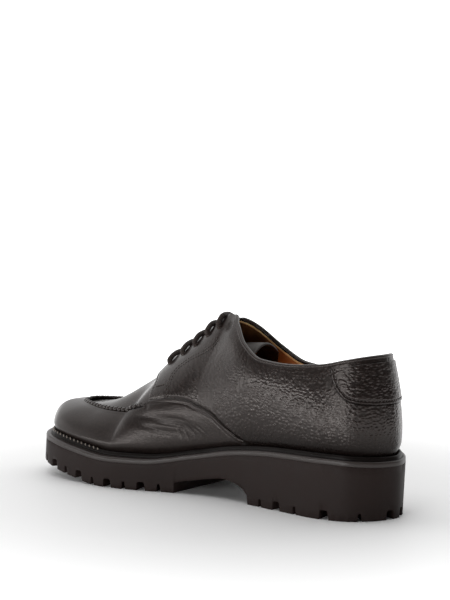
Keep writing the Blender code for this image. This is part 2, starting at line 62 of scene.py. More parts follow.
# Sizes of the solids, in millimetres
TOE_LEAN = 1.6
TREAD_WIDTH_SHARE = 0.985
WELT_THICK = 3.4
BEAD_RISE = 2.9
WELT_INNER = 2.6
INSOLE_THICK = 7.0
WALL = 1.5
GAP = 0.3
SEAM_RADIUS = 1.3
SEAM_LIFT = 1.75

# Sections of the shoe from the back of the heel to the tip of the toe
SECTION_COLUMNS = (
    "along", "inner", "outer", "margin", "foot_out", "foot_rise", "top_side", "top_drop", "fan",
)
SECTION_ROWS = (
    (-152.5, 0.0, 0.0, 5.9, 4.5, 22.0, 4.8, 24.0, 1.0),
    (-149.0, -12.5, 12.5, 6.0, 4.5, 22.0, 4.8, 24.0, 1.0),
    (-141.8, -22.9, 22.6, 6.3, 4.5, 22.0, 5.0, 24.0, 1.0),
    (-128.0, -33.0, 32.6, 6.6, 4.5, 22.0, 5.2, 24.0, 1.0),
    (-107.0, -36.5, 36.8, 6.6, 4.5, 22.0, 5.0, 22.0, 1.0),
    (-76.0, -33.5, 38.6, 6.2, 5.0, 20.0, 4.5, 20.0, 1.0),
    (-46.0, -30.4, 40.6, 6.2, 6.0, 20.0, 5.5, 20.0, 0.6),
    (-15.0, -29.6, 44.2, 7.0, 7.0, 20.0, 8.0, 19.0, 0.2),
    (0.0, -31.4, 47.0, 7.8, 7.0, 20.0, 11.0, 14.0, 0.0),
    (15.0, -34.6, 49.8, 8.6, 7.0, 19.0, 13.0, 8.0, 0.0),
    (37.0, -43.0, 53.5, 9.6, 6.5, 18.0, 14.0, 7.0, 0.0),
    (61.0, -49.3, 55.5, 10.0, 6.0, 17.0, 14.0, 5.5, 0.0),
    (69.0, -50.2, 55.0, 10.1, 5.5, 16.0, 10.0, 1.5, 0.0),
    (83.0, -50.5, 53.3, 10.2, 5.0, 15.0, 12.0, 0.0, 0.0),
    (107.0, -49.0, 47.0, 10.2, 4.8, 14.0, 19.0, 0.0, 0.2),
    (128.0, -43.5, 36.5, 9.3, 4.8, 15.6, 21.4, 0.0, 0.8),
    (142.0, -31.5, 23.0, 8.4, 5.2, 18.6, 20.0, 0.0, 1.0),
    (149.7, -18.0, 9.5, 8.2, 5.4, 20.0, 20.5, 0.0, 1.0),
    (152.5, -5.0, -5.0, 8.2, 5.4, 20.0, 20.5, 0.0, 1.0),
)

# Where each section's rib ends: on the topline, then along the facing, then on the spine of the vamp
EDGE_COLUMNS = ("inner_x", "inner_y", "inner_z", "outer_x", "outer_y", "outer_z")
EDGE_ROWS = (
    (0.0, -140.4, 105.2, 0.0, -140.4, 105.2),
    (-9.0, -138.5, 105.0, 9.0, -138.5, 104.8),
    (-16.3, -133.7, 104.2, 16.3, -133.7, 103.4),
    (-22.6, -123.8, 102.0, 22.8, -123.8, 99.6),
    (-26.8, -106.5, 98.2, 27.2, -106.5, 92.8),
    (-28.8, -80.0, 96.4, 29.4, -80.0, 88.2),
    (-28.3, -58.0, 98.0, 29.0, -56.0, 90.6),
    (-24.5, -39.5, 107.6, 25.4, -36.0, 101.6),
    (-16.0, -26.5, 119.8, 16.8, -20.0, 116.2),
    (-6.5, -15.5, 126.0, 6.5, -10.5, 122.4),
    (-6.0, 12.0, 107.6, 6.0, 12.0, 107.6),
    (-5.0, 42.0, 87.2, 5.0, 42.0, 87.2),
    (0.0, 50.0, 81.0, 0.0, 50.0, 81.0),
    (0.0, 64.0, 72.4, 0.0, 64.0, 72.4),
    (-1.0, 87.0, 58.2, -1.0, 87.0, 58.2),
    (-2.0, 104.0, 54.0, -2.0, 104.0, 54.0),
    (-2.6, 114.5, 52.6, -2.6, 114.5, 52.6),
    (-3.0, 120.5, 52.0, -3.0, 120.5, 52.0),
    (-3.0, 123.0, 51.6, -3.0, 123.0, 51.6),
)

# Height of the welt's ledge along the shoe
LEDGE_COLUMNS = ("along", "height")
LEDGE_ROWS = (
    (-152.5, 39.2), (-116.0, 41.0), (-76.0, 40.0), (-37.0, 36.4), (0.0, 29.2), (37.0, 23.0),
    (67.0, 22.5), (98.0, 25.8), (125.0, 29.6), (140.0, 30.6), (152.5, 30.6),
)

# Height of the tread along the shoe
TREAD_COLUMNS = ("along", "height")
TREAD_ROWS = (
    (-152.5, 0.0), (-50.4, 0.0), (-49.6, 6.6), (-45.0, 10.6), (-38.0, 13.6), (-28.0, 15.0),
    (-15.0, 13.2), (0.0, 10.2), (12.6, 7.4), (13.4, 0.0), (72.0, 0.0), (91.0, 2.6),
    (110.0, 5.8), (125.0, 8.6), (139.0, 11.6), (152.5, 15.6),
)
FOREFOOT_END = 13.4

# Lug notches in the sole's edge
NOTCH_COLUMNS = ("foot_width", "head_width", "rise", "round")
NARROW_NOTCH = dict(zip(NOTCH_COLUMNS, (3.8, 1.8, 5.6, 0.7)))
WIDE_NOTCH = dict(zip(NOTCH_COLUMNS, (7.4, 5.6, 6.4, 1.5)))
TREAD_SLOT = dict(zip(NOTCH_COLUMNS, (5.0, 4.0, 5.0, 1.2)))
TREAD_SLOT_INSET = 19.0
NOTCH_REACH = 12.0
FOREFOOT_NOTCH_PITCH = 13.7
FOREFOOT_NOTCH_START = 11.5
HEEL_NOTCHES_FROM_BACK = (6.8, 29.0, 53.7, 77.7, 94.4, 109.6)

# Front edge of a quarter: it runs in under the vamp, then turns up as the free edge of the facing
FRONT_COLUMNS = ("section", "share")
QUARTER_FRONT_ROWS = (
    (6.00, 0.00), (6.18, 0.06), (6.36, 0.12), (6.62, 0.195), (6.92, 0.265), (7.25, 0.312),
    (7.65, 0.334), (8.25, 0.347), (8.80, 0.361), (9.35, 0.388), (9.75, 0.415), (10.10, 0.438),
    (10.42, 0.462), (10.56, 0.51), (10.64, 0.56), (10.72, 0.64), (10.84, 0.71), (11.08, 0.78),
    (11.32, 0.85), (11.42, 0.91), (11.38, 0.945), (11.22, 0.98), (11.10, 1.00),
)

FACING_FOOT = 12  # the row where the edge comes out from under the vamp

# Back edge of the vamp over the quarters
VAMP_BACK_ROWS = (
    (5.95, -0.06), (6.08, 0.085), (6.25, 0.14), (6.50, 0.215), (6.80, 0.292), (7.15, 0.340),
    (7.60, 0.362), (8.20, 0.375), (8.70, 0.388), (9.25, 0.415), (9.60, 0.440), (9.95, 0.463),
    (10.35, 0.485), (10.60, 0.500), (11.20, 0.545), (11.80, 0.62), (12.40, 1.00),
)

# Edge of the heel tab, from the back seam round its lower corner up to the topline
TAB_ROWS = (
    (0.0, 0.575), (1.3, 0.58), (2.4, 0.605), (2.85, 0.645), (3.1, 0.70), (3.4, 0.82),
    (3.55, 0.94), (3.60, 1.00),
)

# The apron's seam: distance along the shoe and half width of its U
APRON_COLUMNS = ("along", "half_width")
APRON_ROWS = (
    (43.0, 30.4), (48.0, 30.6), (53.0, 30.4), (58.0, 29.4), (63.0, 28.6), (70.0, 28.0),
    (80.0, 26.6), (90.0, 24.0), (100.0, 20.8), (108.0, 17.6), (115.0, 13.6), (120.0, 9.6),
    (123.4, 5.0), (124.6, 0.0),
)
APRON_MIDDLE = -1.0

# The tongue, dropped back into the empty shoe
TONGUE_COLUMNS = ("along", "height", "half_width", "drop")
TONGUE_ROWS = (
    (60.0, 72.3, 8.2, 3.2), (45.0, 80.2, 11.0, 4.8), (30.0, 88.4, 14.4, 4.6),
    (15.0, 95.6, 17.0, 6.6), (0.0, 101.4, 18.4, 9.0), (-15.0, 105.8, 19.6, 11.6),
    (-28.0, 108.4, 20.8, 13.8), (-42.0, 109.2, 21.0, 14.6),
)
TONGUE_THICK = 2.2

EYELETS = 5
EYELET_SECTIONS = (10.65, 9.2)
EYELET_SHARE = 0.865
EYELET_RADIUS = 2.0

# Stitches of a facing as section and height share: the row behind the eyelets and the bar at its foot
FACING_STITCH_ROWS = (
    (10.0, 0.47), (10.15, 0.57), (10.2, 0.65), (10.1, 0.71),
    (9.8, 0.725), (9.45, 0.72), (9.15, 0.74), (9.0, 0.79),
)
BAR_TACK_ROWS = ((10.52, 0.60), (10.28, 0.585))

# Creases of the vamp where the foot bends, as section and height share of their start, middle and end;
# depth is down into the leather, and a negative one is a fold that stands up
CREASE_COLUMNS = (
    "section_1", "share_1", "section_2", "share_2", "section_3", "share_3", "width", "depth",
)
CREASE_ROWS = (
    (12.40, 0.475, 10.05, 0.333, 7.45, 0.160, 3.6, 0.62),
    (11.30, 0.375, 9.60, 0.245, 8.05, 0.150, 2.6, 0.30),
    (11.10, 0.49, 9.70, 0.370, 8.40, 0.285, 5.6, -0.40),
    (10.60, 0.34, 9.55, 0.270, 8.60, 0.215, 2.4, -0.18),
    (9.90, 0.30, 9.30, 0.262, 8.70, 0.235, 1.0, 0.28),
    (9.75, 0.335, 9.20, 0.300, 8.40, 0.262, 1.0, 0.25),
    (9.25, 0.27, 9.00, 0.215, 8.75, 0.150, 1.0, 0.28),
    (9.05, 0.26, 8.65, 0.205, 8.35, 0.140, 1.0, 0.28),
    (8.85, 0.26, 8.40, 0.225, 8.05, 0.180, 1.0, 0.30),
    (8.55, 0.26, 8.05, 0.225, 7.55, 0.170, 1.0, 0.28),
    (8.30, 0.265, 7.80, 0.235, 7.30, 0.190, 1.0, 0.25),
    (10.30, 0.285, 9.75, 0.245, 9.20, 0.205, 1.0, 0.28),
    (10.05, 0.250, 9.60, 0.215, 9.15, 0.180, 1.0, 0.25),
)


def linear(colour):
    """An sRGB hex colour as linear red, green and blue."""
    parts = [int(colour[i : i + 2], 16) / 255 for i in (1, 3, 5)]
    return tuple(v / 12.92 if v <= 0.04045 else ((v + 0.055) / 1.055) ** 2.4 for v in parts)


def metres_prop(name, description, default_mm):
    return FloatProperty(
        name=name, description=description, default=default_mm * MM, unit="LENGTH", precision=5
    )


def colour_prop(name, description, default):
    return FloatVectorProperty(
        name=name, description=description, default=linear(default), subtype="COLOR", min=0.0, max=1.0
    )


class ShoeSizes(bpy.types.PropertyGroup):
    """Thicknesses and pitches that a maker would choose."""

    vamp_lift: metres_prop("Vamp lift", "Outside of the vamp over the shell", 1.9)
    quarter_lift: metres_prop("Quarter lift", "Outside of the quarters over the shell", 1.7)
    tab_lift: metres_prop("Tab lift", "Outside of the heel tab over the shell", 2.7)
    rim: metres_prop("Rim", "Rounding of a panel's edge", 1.1)
    stitch_pitch: metres_prop("Stitch pitch", "Distance between two stitches", 2.5)
    stitch_width: metres_prop("Stitch width", "Thickness of the sewing thread", 0.7)
    welt_pitch: metres_prop("Welt stitch pitch", "Distance between two stitches of the welt", 4.2)
    scallop_pitch: metres_prop("Scallop pitch", "Distance between two stitches of the apron's seam", 4.4)
    lace_radius: metres_prop("Lace radius", "Half the lace's thickness", 1.9)
    binding_radius: metres_prop("Binding radius", "Half the rolled edge's thickness", 1.5)
    pebble: metres_prop("Pebble", "Width of one pebble of the leather's grain", 2.2)


class ShoeColours(bpy.types.PropertyGroup):
    """Colours of the shoe's materials."""

    leather: colour_prop("Leather", "Face of the upper's leather", "#1d1614")
    # The tongue's leather is a shade darker than the upper's, as painted shade inside the throat.
    tongue: colour_prop("Tongue", "Soft leather of the tongue", "#1a1512")
    rubber: colour_prop("Rubber", "Moulded sole", "#1e1310")
    welt: colour_prop("Welt", "Burnished welt", "#2a221f")
    lining: colour_prop("Lining", "Vegetable tanned lining leather", "#d4935a")
    # Partly the pale cut edge of the lining, partly a painted highlight: the colour is pushed near white so
    # that the edge shows bright.
    raw_edge_and_highlight: colour_prop("Raw edge", "Cut edge of the lining", "#ffdca2")
    thread: colour_prop("Thread", "Sewing thread of the upper", "#2a201c")
    welt_thread: colour_prop("Welt thread", "Waxed thread of the welt", "#7a7067")
    lace: colour_prop("Lace", "Woven cord", "#291f1b")
    floor: colour_prop("Floor", "Studio floor", "#fafafa")


class Smooth:
    """A curve through given values that never overshoots them; takes numbers or arrays."""

    def __init__(self, knots, values):
        self.knots = np.asarray(knots, float)
        self.values = np.asarray(values, float)
        rise = np.diff(self.values) / np.diff(self.knots)
        before, after = rise[:-1], rise[1:]
        turning = before * after <= 0
        total = np.where(turning, 1.0, before + after)
        inner = np.where(turning, 0.0, 2.0 * before * after / total)
        self.slopes = np.concatenate([rise[:1], inner, rise[-1:]])

    def __call__(self, place):
        place = np.asarray(place, float)
        i = np.clip(np.searchsorted(self.knots, place, side="right") - 1, 0, len(self.knots) - 2)
        step = self.knots[i + 1] - self.knots[i]
        t = np.clip((place - self.knots[i]) / step, 0.0, 1.0)
        ease = t * t * (3.0 - 2.0 * t)
        bend = self.slopes[i] * step * t * (1.0 - t) ** 2 - self.slopes[i + 1] * step * t * t * (1.0 - t)
        return self.values[i] + (self.values[i + 1] - self.values[i]) * ease + bend


def columns_of(names, rows):
    """The table's columns by name."""
    return dict(zip(names, np.array(rows, float).T))


SECTIONS = columns_of(SECTION_COLUMNS, SECTION_ROWS)
EDGES = columns_of(EDGE_COLUMNS, EDGE_ROWS)
TOE = len(SECTION_ROWS) - 1
LOOP = 2 * TOE  # sections met on the way round the shoe, by the inner side to the toe and back
WELT_STITCH_SECTIONS = (12.6, LOOP - 12.6)  # the welt's stitches show round the toe


def around(inner, outer):
    """A closed curve of values round the shoe."""
    ring = np.concatenate([inner, outer[-2:0:-1]])
    lap = 4
    knots = np.arange(-lap, LOOP + lap + 1)
    return Smooth(knots, ring[knots % LOOP])


RING = {name: around(values, values) for name, values in SECTIONS.items()}
RING["edge_x"] = around(SECTIONS["inner"], SECTIONS["outer"])
for axis in "xyz":
    RING["top_" + axis] = around(EDGES["inner_" + axis], EDGES["outer_" + axis])

ledge = Smooth(*columns_of(LEDGE_COLUMNS, LEDGE_ROWS).values())
tread = Smooth(*columns_of(TREAD_COLUMNS, TREAD_ROWS).values())
section_at = Smooth(SECTIONS["along"], np.arange(TOE + 1))
apron_half_width = Smooth(*columns_of(APRON_COLUMNS, APRON_ROWS).values())
vamp_back = Smooth(*columns_of(FRONT_COLUMNS, VAMP_BACK_ROWS).values())

BOX_MIDDLE = np.array([(SECTIONS["inner"].min() + SECTIONS["outer"].max()) / 2, TOE_LEAN / 2, 0.0])


def metres(points):
    """Points of the last's frame in the part's frame."""
    return (np.asarray(points, float) - BOX_MIDDLE) * MM


def unit(vectors):
    return vectors / np.maximum(np.linalg.norm(vectors, axis=-1, keepdims=True), 1e-9)


def outline(place):
    """The sole's edge at a section round the shoe, seen from above."""
    return np.stack([RING["edge_x"](place), RING["along"](place)], -1)


def outward(place):
    """The way out of the shoe, across its edge."""
    step = 0.02
    run = unit(outline(place + step) - outline(place - step))
    return np.stack([-run[..., 1], run[..., 0]], -1)


def inset(place, distance, height):
    """A point that far in from the sole's edge, that far above the welt's ledge."""
    plan = outline(place) - outward(place) * np.asarray(distance)[..., None]
    return np.stack([plan[..., 0], plan[..., 1], ledge(plan[..., 1]) + height], -1)


def sideways(place):
    """Straight out to the side along the foot, turning to follow the edge round heel and toe."""
    side = np.stack([np.where(place % LOOP <= TOE, -1.0, 1.0), np.zeros_like(place)], -1)
    return unit(side + (outward(place) - side) * RING["fan"](place)[..., None])


def cut_rib(place, share):
    """A section's rib of the shell, from its foot on the welt (0) to its top edge (1)."""
    foot = inset(place, RING["margin"](place), GAP)
    top = np.stack([RING["top_" + axis](place) for axis in "xyz"], -1)
    lean = np.concatenate(
        [outward(place) * RING["foot_out"](place)[..., None], RING["foot_rise"](place)[..., None]], -1
    )
    reach = np.concatenate(
        [sideways(place) * RING["top_side"](place)[..., None], -RING["top_drop"](place)[..., None]], -1
    )
    share = share[..., None]
    back = 1.0 - share
    near_foot = back**3 * foot + 3 * back**2 * share * (foot + lean)
    return near_foot + 3 * back * share**2 * (top + reach) + share**3 * top


def rib(place, share):
    """The outside of the shell, evened between sections along the sides, but not on the topline."""
    place, share = np.broadcast_arrays(np.asarray(place, float) % LOOP, np.asarray(share, float))
    side = from_heel(place)
    wall = ease(12.5, 10.0, side)
    front = wall + (ease(16.0, 12.0, side) - wall) * ease(0.5, 0.72, share)
    amount = 0.5 * ease(4.5, 7.5, side) * front
    amount = amount * (1.0 - ease(0.66, 0.9, share) * ease(12.6, 11.0, side))
    here = cut_rib(place, share)
    beside = [cut_rib((place + step) % LOOP, share) for step in (-1.0, -0.5, 0.5, 1.0)]
    along = unit(beside[2] - beside[1])
    move = sum(beside) / 4 - here
    move = move - along * (move * along).sum(-1, keepdims=True)
    return here + move * amount[..., None]


def shell_normal(place, share):
    """The shell's normal, pointing out."""
    step = 0.02
    near = np.clip(share, step, 1.0 - step)
    up = rib(place, near + step) - rib(place, near - step)
    along = rib(np.asarray(place) + step, near) - rib(np.asarray(place) - step, near)
    return unit(np.cross(up, along))


def skin(place, share, lift):
    """A point that far off the shell, along its normal."""
    return rib(place, share) + shell_normal(place, share) * np.asarray(lift)[..., None]


def past_top(place, distance, lift=0.0):
    """A point that far beyond the shell's top edge, square to the edge and in line with the leather."""
    step = 0.05
    edge = rib(place + step, 1.0) - rib(place - step, 1.0)
    face = shell_normal(place, np.ones_like(place))
    way = unit(np.cross(edge, face))
    return rib(place, 1.0) + way * np.asarray(distance)[..., None] + face * np.asarray(lift)[..., None]


def from_heel(place):
    """Sections between the back of the heel and the place, by the shorter way round."""
    return np.minimum(place, LOOP - place)


def mirrored(place, side):
    """The same section on the inner (-1) or the outer (+1) side."""
    return place if side < 0 else LOOP - place


def ease(low, high, value):
    """0 below low, 1 above high and a soft step between."""
    t = np.clip((np.asarray(value, float) - low) / (high - low), 0.0, 1.0)
    return t * t * (3.0 - 2.0 * t)


def rounded(distance, radius):
    """Height share of a rounded edge at a distance from it."""
    t = np.clip(distance / radius, 0.0, 1.0)
    return np.sqrt(np.maximum(1.0 - (1.0 - t) ** 2, 0.0))


def trough(distance, width):
    return np.exp(-((distance / width) ** 2))


def distance_to(points, line):
    """Distance of each point from a line given by close points."""
    found = np.empty(len(points))
    for start in range(0, len(points), 4000):
        block = points[start : start + 4000]
        found[start : start + 4000] = np.linalg.norm(block[:, None] - line[None], axis=-1).min(1)
    return found


def edge_curve(rows, count):
    """Sections and shares along a panel's edge."""
    edge = columns_of(FRONT_COLUMNS, rows)
    steps = np.arange(len(rows))
    fine = np.linspace(0, steps[-1], count)
    return Smooth(steps, edge["section"])(fine), Smooth(steps, edge["share"])(fine)


def mm_of(size):
    return size / MM


def sizes():
    return bpy.context.scene.shoe_sizes


def colours():
    return bpy.context.scene.shoe_colours


# Meshes


def grid_values(bm, columns, rows):
    """Column and row value of each vertex of a fresh unit grid."""
    flat = np.array([vertex.co.xy for vertex in bm.verts]) + 0.5
    i = np.rint(flat[:, 0] * (len(columns) - 1)).astype(int)
    j = np.rint(flat[:, 1] * (len(rows) - 1)).astype(int)
    return np.asarray(columns, float)[i], np.asarray(rows, float)[j]


def unit_grid(columns, rows):
    bm = bmesh.new()
    bmesh.ops.create_grid(bm, x_segments=len(columns) - 1, y_segments=len(rows) - 1, size=0.5)
    return bm


def put(bm, points, **layers):
    """Moves the vertices to points of the last's frame and writes their attribute layers."""
    for name, values in layers.items():
        kind = bm.verts.layers.float if np.ndim(values) == 1 else bm.verts.layers.float_vector
        layer = kind.new(name)
        for vertex, value in zip(bm.verts, values):
            vertex[layer] = float(value) if np.ndim(values) == 1 else Vector(value)
    for vertex, point in zip(bm.verts, metres(points)):
        vertex.co = point


def close_up(bm):
    """Joins the edges that meet, fills open ends and turns all faces out."""
    bmesh.ops.remove_doubles(bm, verts=bm.verts[:], dist=2e-6)
    bmesh.ops.dissolve_degenerate(bm, edges=bm.edges[:], dist=1e-6)
    open_edges = [edge for edge in bm.edges if edge.is_boundary]
    if open_edges:
        bmesh.ops.holes_fill(bm, edges=open_edges)
    bmesh.ops.recalc_face_normals(bm, faces=bm.faces[:])


def slab(columns, rows, lower, upper, **layers):
    """A closed sheet between lower(column, row) and upper(column, row), with attribute layers."""
    bm = unit_grid(columns, rows)
    raised = bmesh.ops.extrude_face_region(bm, geom=bm.faces[:])["geom"]
    tops = {item for item in raised if isinstance(item, bmesh.types.BMVert)}
    column, row = grid_values(bm, columns, rows)
    is_top = np.array([vertex in tops for vertex in bm.verts])
    points = np.where(is_top[:, None], upper(column, row), lower(column, row))
    put(bm, points, **{name: layer(column, row) for name, layer in layers.items()})
    close_up(bm)
    return bm


def join_mesh(bm, other):
    """Adds another mesh's faces to bm."""
    mesh = bpy.data.meshes.new("joined")
    other.to_mesh(mesh)
    other.free()
    bm.from_mesh(mesh)
    bpy.data.meshes.remove(mesh)


def route_frames(points, ups=None):
    """Tangent, side and up along a line; without given ups they turn as little as they can."""
    tangents = unit(np.gradient(points, axis=0))
    if ups is None:
        up = np.array([0.0, 0.0, 1.0])
        ups = []
        for tangent in tangents:
            up = unit(up - tangent * np.dot(up, tangent))
            ups.append(up)
        ups = np.array(ups)
    ups = unit(ups - tangents * (ups * tangents).sum(-1, keepdims=True))
    return tangents, np.cross(tangents, ups), ups


def lengths_of(points):
    runs = np.linalg.norm(np.diff(points, axis=0), axis=-1)
    return np.concatenate([[0.0], np.cumsum(runs)])


def resampled(points, spacing):
    """A smooth line through the points, with a point every spacing."""
    points = np.asarray(points, float)
    run = lengths_of(points)
    fine = np.linspace(0.0, run[-1], max(int(run[-1] / spacing), 4) + 1)
    return np.stack([Smooth(run, points[:, i])(fine) for i in range(3)], -1)


def swept(points, ups, section, corners):
    """A solid along points: section(length, angle) gives how far it stands to the side and up."""
    angles = np.linspace(0.0, 2 * math.pi, corners + 1)
    steps = np.arange(len(points))
    bm = unit_grid(steps, angles)
    step, angle = grid_values(bm, steps, angles)
    step = step.astype(int)
    tangents, sides, ups = route_frames(points, ups)
    length = lengths_of(points)[step]
    side, up = section(length, angle)
    places = points[step] + sides[step] * side[:, None] + ups[step] * up[:, None]
    put(bm, places, route=np.stack([length, angle / (2 * math.pi), np.zeros_like(angle)], -1))
    close_up(bm)
    return bm


def add_piece(bm, name, material, slot, *nodes):
    """Makes the mesh a piece of the shoe that rides on its body and stands for the nodes."""
    mesh = bpy.data.meshes.new(name)
    bm.to_mesh(mesh)
    bm.free()
    mesh.shade_smooth()
    mesh.materials.append(material)
    piece = bpy.data.objects.new(name, mesh)
    bpy.context.scene.collection.objects.link(piece)
    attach(piece, BODY)
    if nodes:
        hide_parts(*nodes)
    return piece


# Materials


def add_node(tree, kind, links=None, **settings):
    """Adds a node, sets its properties and sockets, and links sockets to it."""
    made = tree.nodes.new(kind)
    for name, value in settings.items():
        if hasattr(made, name):
            setattr(made, name, value)
        else:
            made.inputs[name.replace("_", " ")].default_value = value
    for socket, source in (links or {}).items():
        tree.links.new(source, made.inputs[socket])
    return made


def new_material(name, colour, **sockets):
    """A Principled material with its constants set on the shader's own sockets."""
    made = bpy.data.materials.new(name)
    made.use_nodes = True
    shader = made.node_tree.nodes["Principled BSDF"]
    shader.inputs["Base Color"].default_value = (*colour, 1.0)
    for socket, value in sockets.items():
        shader.inputs[socket.replace("_", " ")].default_value = value
    return made, made.node_tree, shader


def tinted(tree, colour, factor, share):
    """The colour, lighter by share where the factor is 1 and darker where it is 0."""
    low = tuple(v * (1.0 - share) for v in colour)
    high = tuple(v * (1.0 + share) for v in colour)
    mix = add_node(tree, "ShaderNodeMix", data_type="RGBA")
    mix.inputs[6].default_value = (*low, 1.0)
    mix.inputs[7].default_value = (*high, 1.0)
    tree.links.new(factor, mix.inputs[0])
    return mix.outputs[2]


def attribute(tree, name):
    """A vertex attribute's value."""
    return add_node(tree, "ShaderNodeAttribute", attribute_name=name).outputs["Fac"]


def noise(tree, place, width_mm, detail):
    """Soft noise with spots of that width."""
    scale = 1.0 / (width_mm * MM)
    return add_node(tree, "ShaderNodeTexNoise", {"Vector": place}, Scale=scale, Detail=detail)


def ranged(tree, value, **settings):
    """The value taken from one range to another."""
    return add_node(tree, "ShaderNodeMapRange", {"Value": value}, **settings).outputs[0]


def darkened(tree, fold, face, colour, share):
    """The face's colour, down to that share of the plain colour where the painted shade is 1."""
    mix = add_node(tree, "ShaderNodeMix", data_type="RGBA")
    mix.inputs[7].default_value = (*(v * share for v in colour), 1.0)
    tree.links.new(fold, mix.inputs[0])
    tree.links.new(face, mix.inputs[6])
    return mix.outputs[2]


def link_shader(tree, shader, **sources):
    """Links the sources to the shader's sockets of their names."""
    for name, source in sources.items():
        tree.links.new(source, shader.inputs[name.replace("_", " ")])


def leather_material(name, colour, pebble_mm, stretch=(1.0, 1.0, 1.0), roughness=0.26):
    """Chrome tanned cowhide, drum-tumbled and lightly waxed.

    Rounded pebbles where the grain attribute is high; elsewhere a satin face with only pores. On every
    piece the colour is painted lighter on the pebbles' crowns and darker in the valleys between them,
    as painted light and shade. The wax gives a soft, broad highlight, and the painted shade keeps little of
    it.
    """
    made, tree, shader = new_material(
        name, colour, Specular_Tint=(1.0, 0.92, 0.88, 1.0), Coat_Weight=0.04, Coat_Roughness=0.3
    )
    place = add_node(tree, "ShaderNodeTexCoord").outputs["Object"]
    turned = add_node(tree, "ShaderNodeMapping", {"Vector": place}, Scale=Vector(stretch)).outputs[0]
    warp = noise(tree, turned, pebble_mm / 0.45, 2.0).outputs["Color"]
    push = add_node(tree, "ShaderNodeVectorMath", {0: warp, 2: turned}, operation="MULTIPLY_ADD")
    push.inputs[1].default_value = (pebble_mm * MM * 0.6,) * 3
    warped = {"Vector": push.outputs[0]}
    scale = 1.0 / (pebble_mm * MM)
    cells = add_node(tree, "ShaderNodeTexVoronoi", warped, Scale=scale, Randomness=0.85)
    soft = {"interpolation_type": "SMOOTHSTEP", "From_Max": 0.8}
    crown = ranged(tree, cells.outputs["Distance"], To_Min=1.0, To_Max=0.0, **soft)
    grain = attribute(tree, "grain")
    pebbles = add_node(tree, "ShaderNodeMath", {0: crown, 1: grain}, operation="MULTIPLY").outputs[0]
    pores = noise(tree, place, 0.7, 3.0).outputs["Fac"]
    fine = add_node(tree, "ShaderNodeBump", {"Height": pores}, Strength=0.3, Distance=0.02 * MM).outputs[0]
    depth = 0.085 * pebble_mm * MM
    coarse = add_node(
        tree, "ShaderNodeBump", {"Height": pebbles, "Normal": fine}, Strength=1.0, Distance=depth
    ).outputs[0]
    cloud = noise(tree, place, 22, 3.0).outputs["Fac"]
    # Painted shade: where this attribute is 1 the colour goes down to a quarter and the highlight almost
    # goes.
    fold = attribute(tree, "fold")
    # Painted light and shade: the colour is 30 % lighter on each pebble's crown and 30 % darker in the
    # valleys.
    link_shader(
        tree, shader, Base_Color=darkened(tree, fold, tinted(tree, colour, crown, 0.3), colour, 0.25),
        Specular_IOR_Level=ranged(tree, fold, To_Min=0.42, To_Max=0.05),
        Roughness=ranged(tree, cloud, To_Min=roughness - 0.05, To_Max=roughness + 0.06), Normal=coarse,
        Coat_Normal=coarse,
    )
    return made


def plain_material(name, colour, grit_mm, depth_mm, roughness, spread=0.08, **sockets):
    """A surface with an even grit: noise of the given width and depth, and patches of gloss.

    It is painted darker, with its highlight taken away, where its attribute of painted shade is 1; a piece
    without that attribute stays as it is.
    """
    made, tree, shader = new_material(name, colour, **sockets)
    place = add_node(tree, "ShaderNodeTexCoord").outputs["Object"]
    grit = noise(tree, place, grit_mm, 4.0).outputs["Fac"]
    bump = add_node(tree, "ShaderNodeBump", {"Height": grit}, Strength=0.6, Distance=depth_mm * MM)
    cloud = noise(tree, place, 18, 4.0).outputs["Fac"]
    # Painted shade: where this attribute is 1 the colour goes down to an eighth and the highlight almost
    # goes.
    fold = attribute(tree, "fold")
    level = shader.inputs["Specular IOR Level"].default_value
    link_shader(
        tree, shader, Base_Color=darkened(tree, fold, tinted(tree, colour, cloud, 0.2), colour, 0.12),
        Specular_IOR_Level=ranged(tree, fold, To_Min=level, To_Max=0.05),
        Roughness=ranged(tree, cloud, To_Min=roughness - spread, To_Max=roughness + spread),
        Normal=bump.outputs[0],
    )
    return made


# Pieces


def notch_places():
    """Sections of the edge notches on one side, each with its shape: narrow and wide in turn."""
    places = np.linspace(0.0, TOE, 40 * TOE + 1)
    lengths = lengths_of(tread_edge(places))
    forefoot = np.interp(FOREFOOT_END, SECTIONS["along"], np.arange(TOE + 1))
    start = np.interp(forefoot, places, lengths) + FOREFOOT_NOTCH_START
    count = int((lengths[-1] - start) / FOREFOOT_NOTCH_PITCH)
    for i in range(count):
        shape = WIDE_NOTCH if i % 2 else NARROW_NOTCH
        yield float(np.interp(start + i * FOREFOOT_NOTCH_PITCH, lengths, places)), shape
    for i, run in enumerate(HEEL_NOTCHES_FROM_BACK):
        shape = NARROW_NOTCH if i % 2 else WIDE_NOTCH
        yield float(np.interp(run, lengths, places)), shape


def tread_edge(place):
    """The tread's edge at a section, seen from above."""
    return outline(place) * (TREAD_WIDTH_SHARE, 1.0) + (0.0, TOE_LEAN)


def add_wedge(bm, middle, run, length, notch):
    """A cutter with a rounded head, that long along run, standing through the tread."""
    below = 2.0
    block = bmesh.new()
    bmesh.ops.create_cube(block, size=1.0)
    along = np.array([-run[1], run[0]])
    for vertex in block.verts:
        head = vertex.co.z > 0
        width = notch["head_width"] if head else notch["foot_width"]
        spot = middle + run * vertex.co.x * length + along * vertex.co.y * width
        height = float(tread(middle[1])) + (notch["rise"] if head else -below)
        vertex.co = metres((*spot, height))
    block.normal_update()
    lowest = min(vertex.co.z for vertex in block.verts)
    long_edges = [edge for edge in block.edges if edge.calc_length() > 0.9 * length * MM]
    ridges = [edge for edge in long_edges if edge.verts[0].co.z > lowest + MM]
    bmesh.ops.bevel(
        block, geom=ridges, offset=notch["round"] * MM, segments=4, profile=0.5, affect="EDGES",
        material=-1,
    )
    bmesh.ops.recalc_face_normals(block, faces=block.faces[:])
    join_mesh(bm, block)


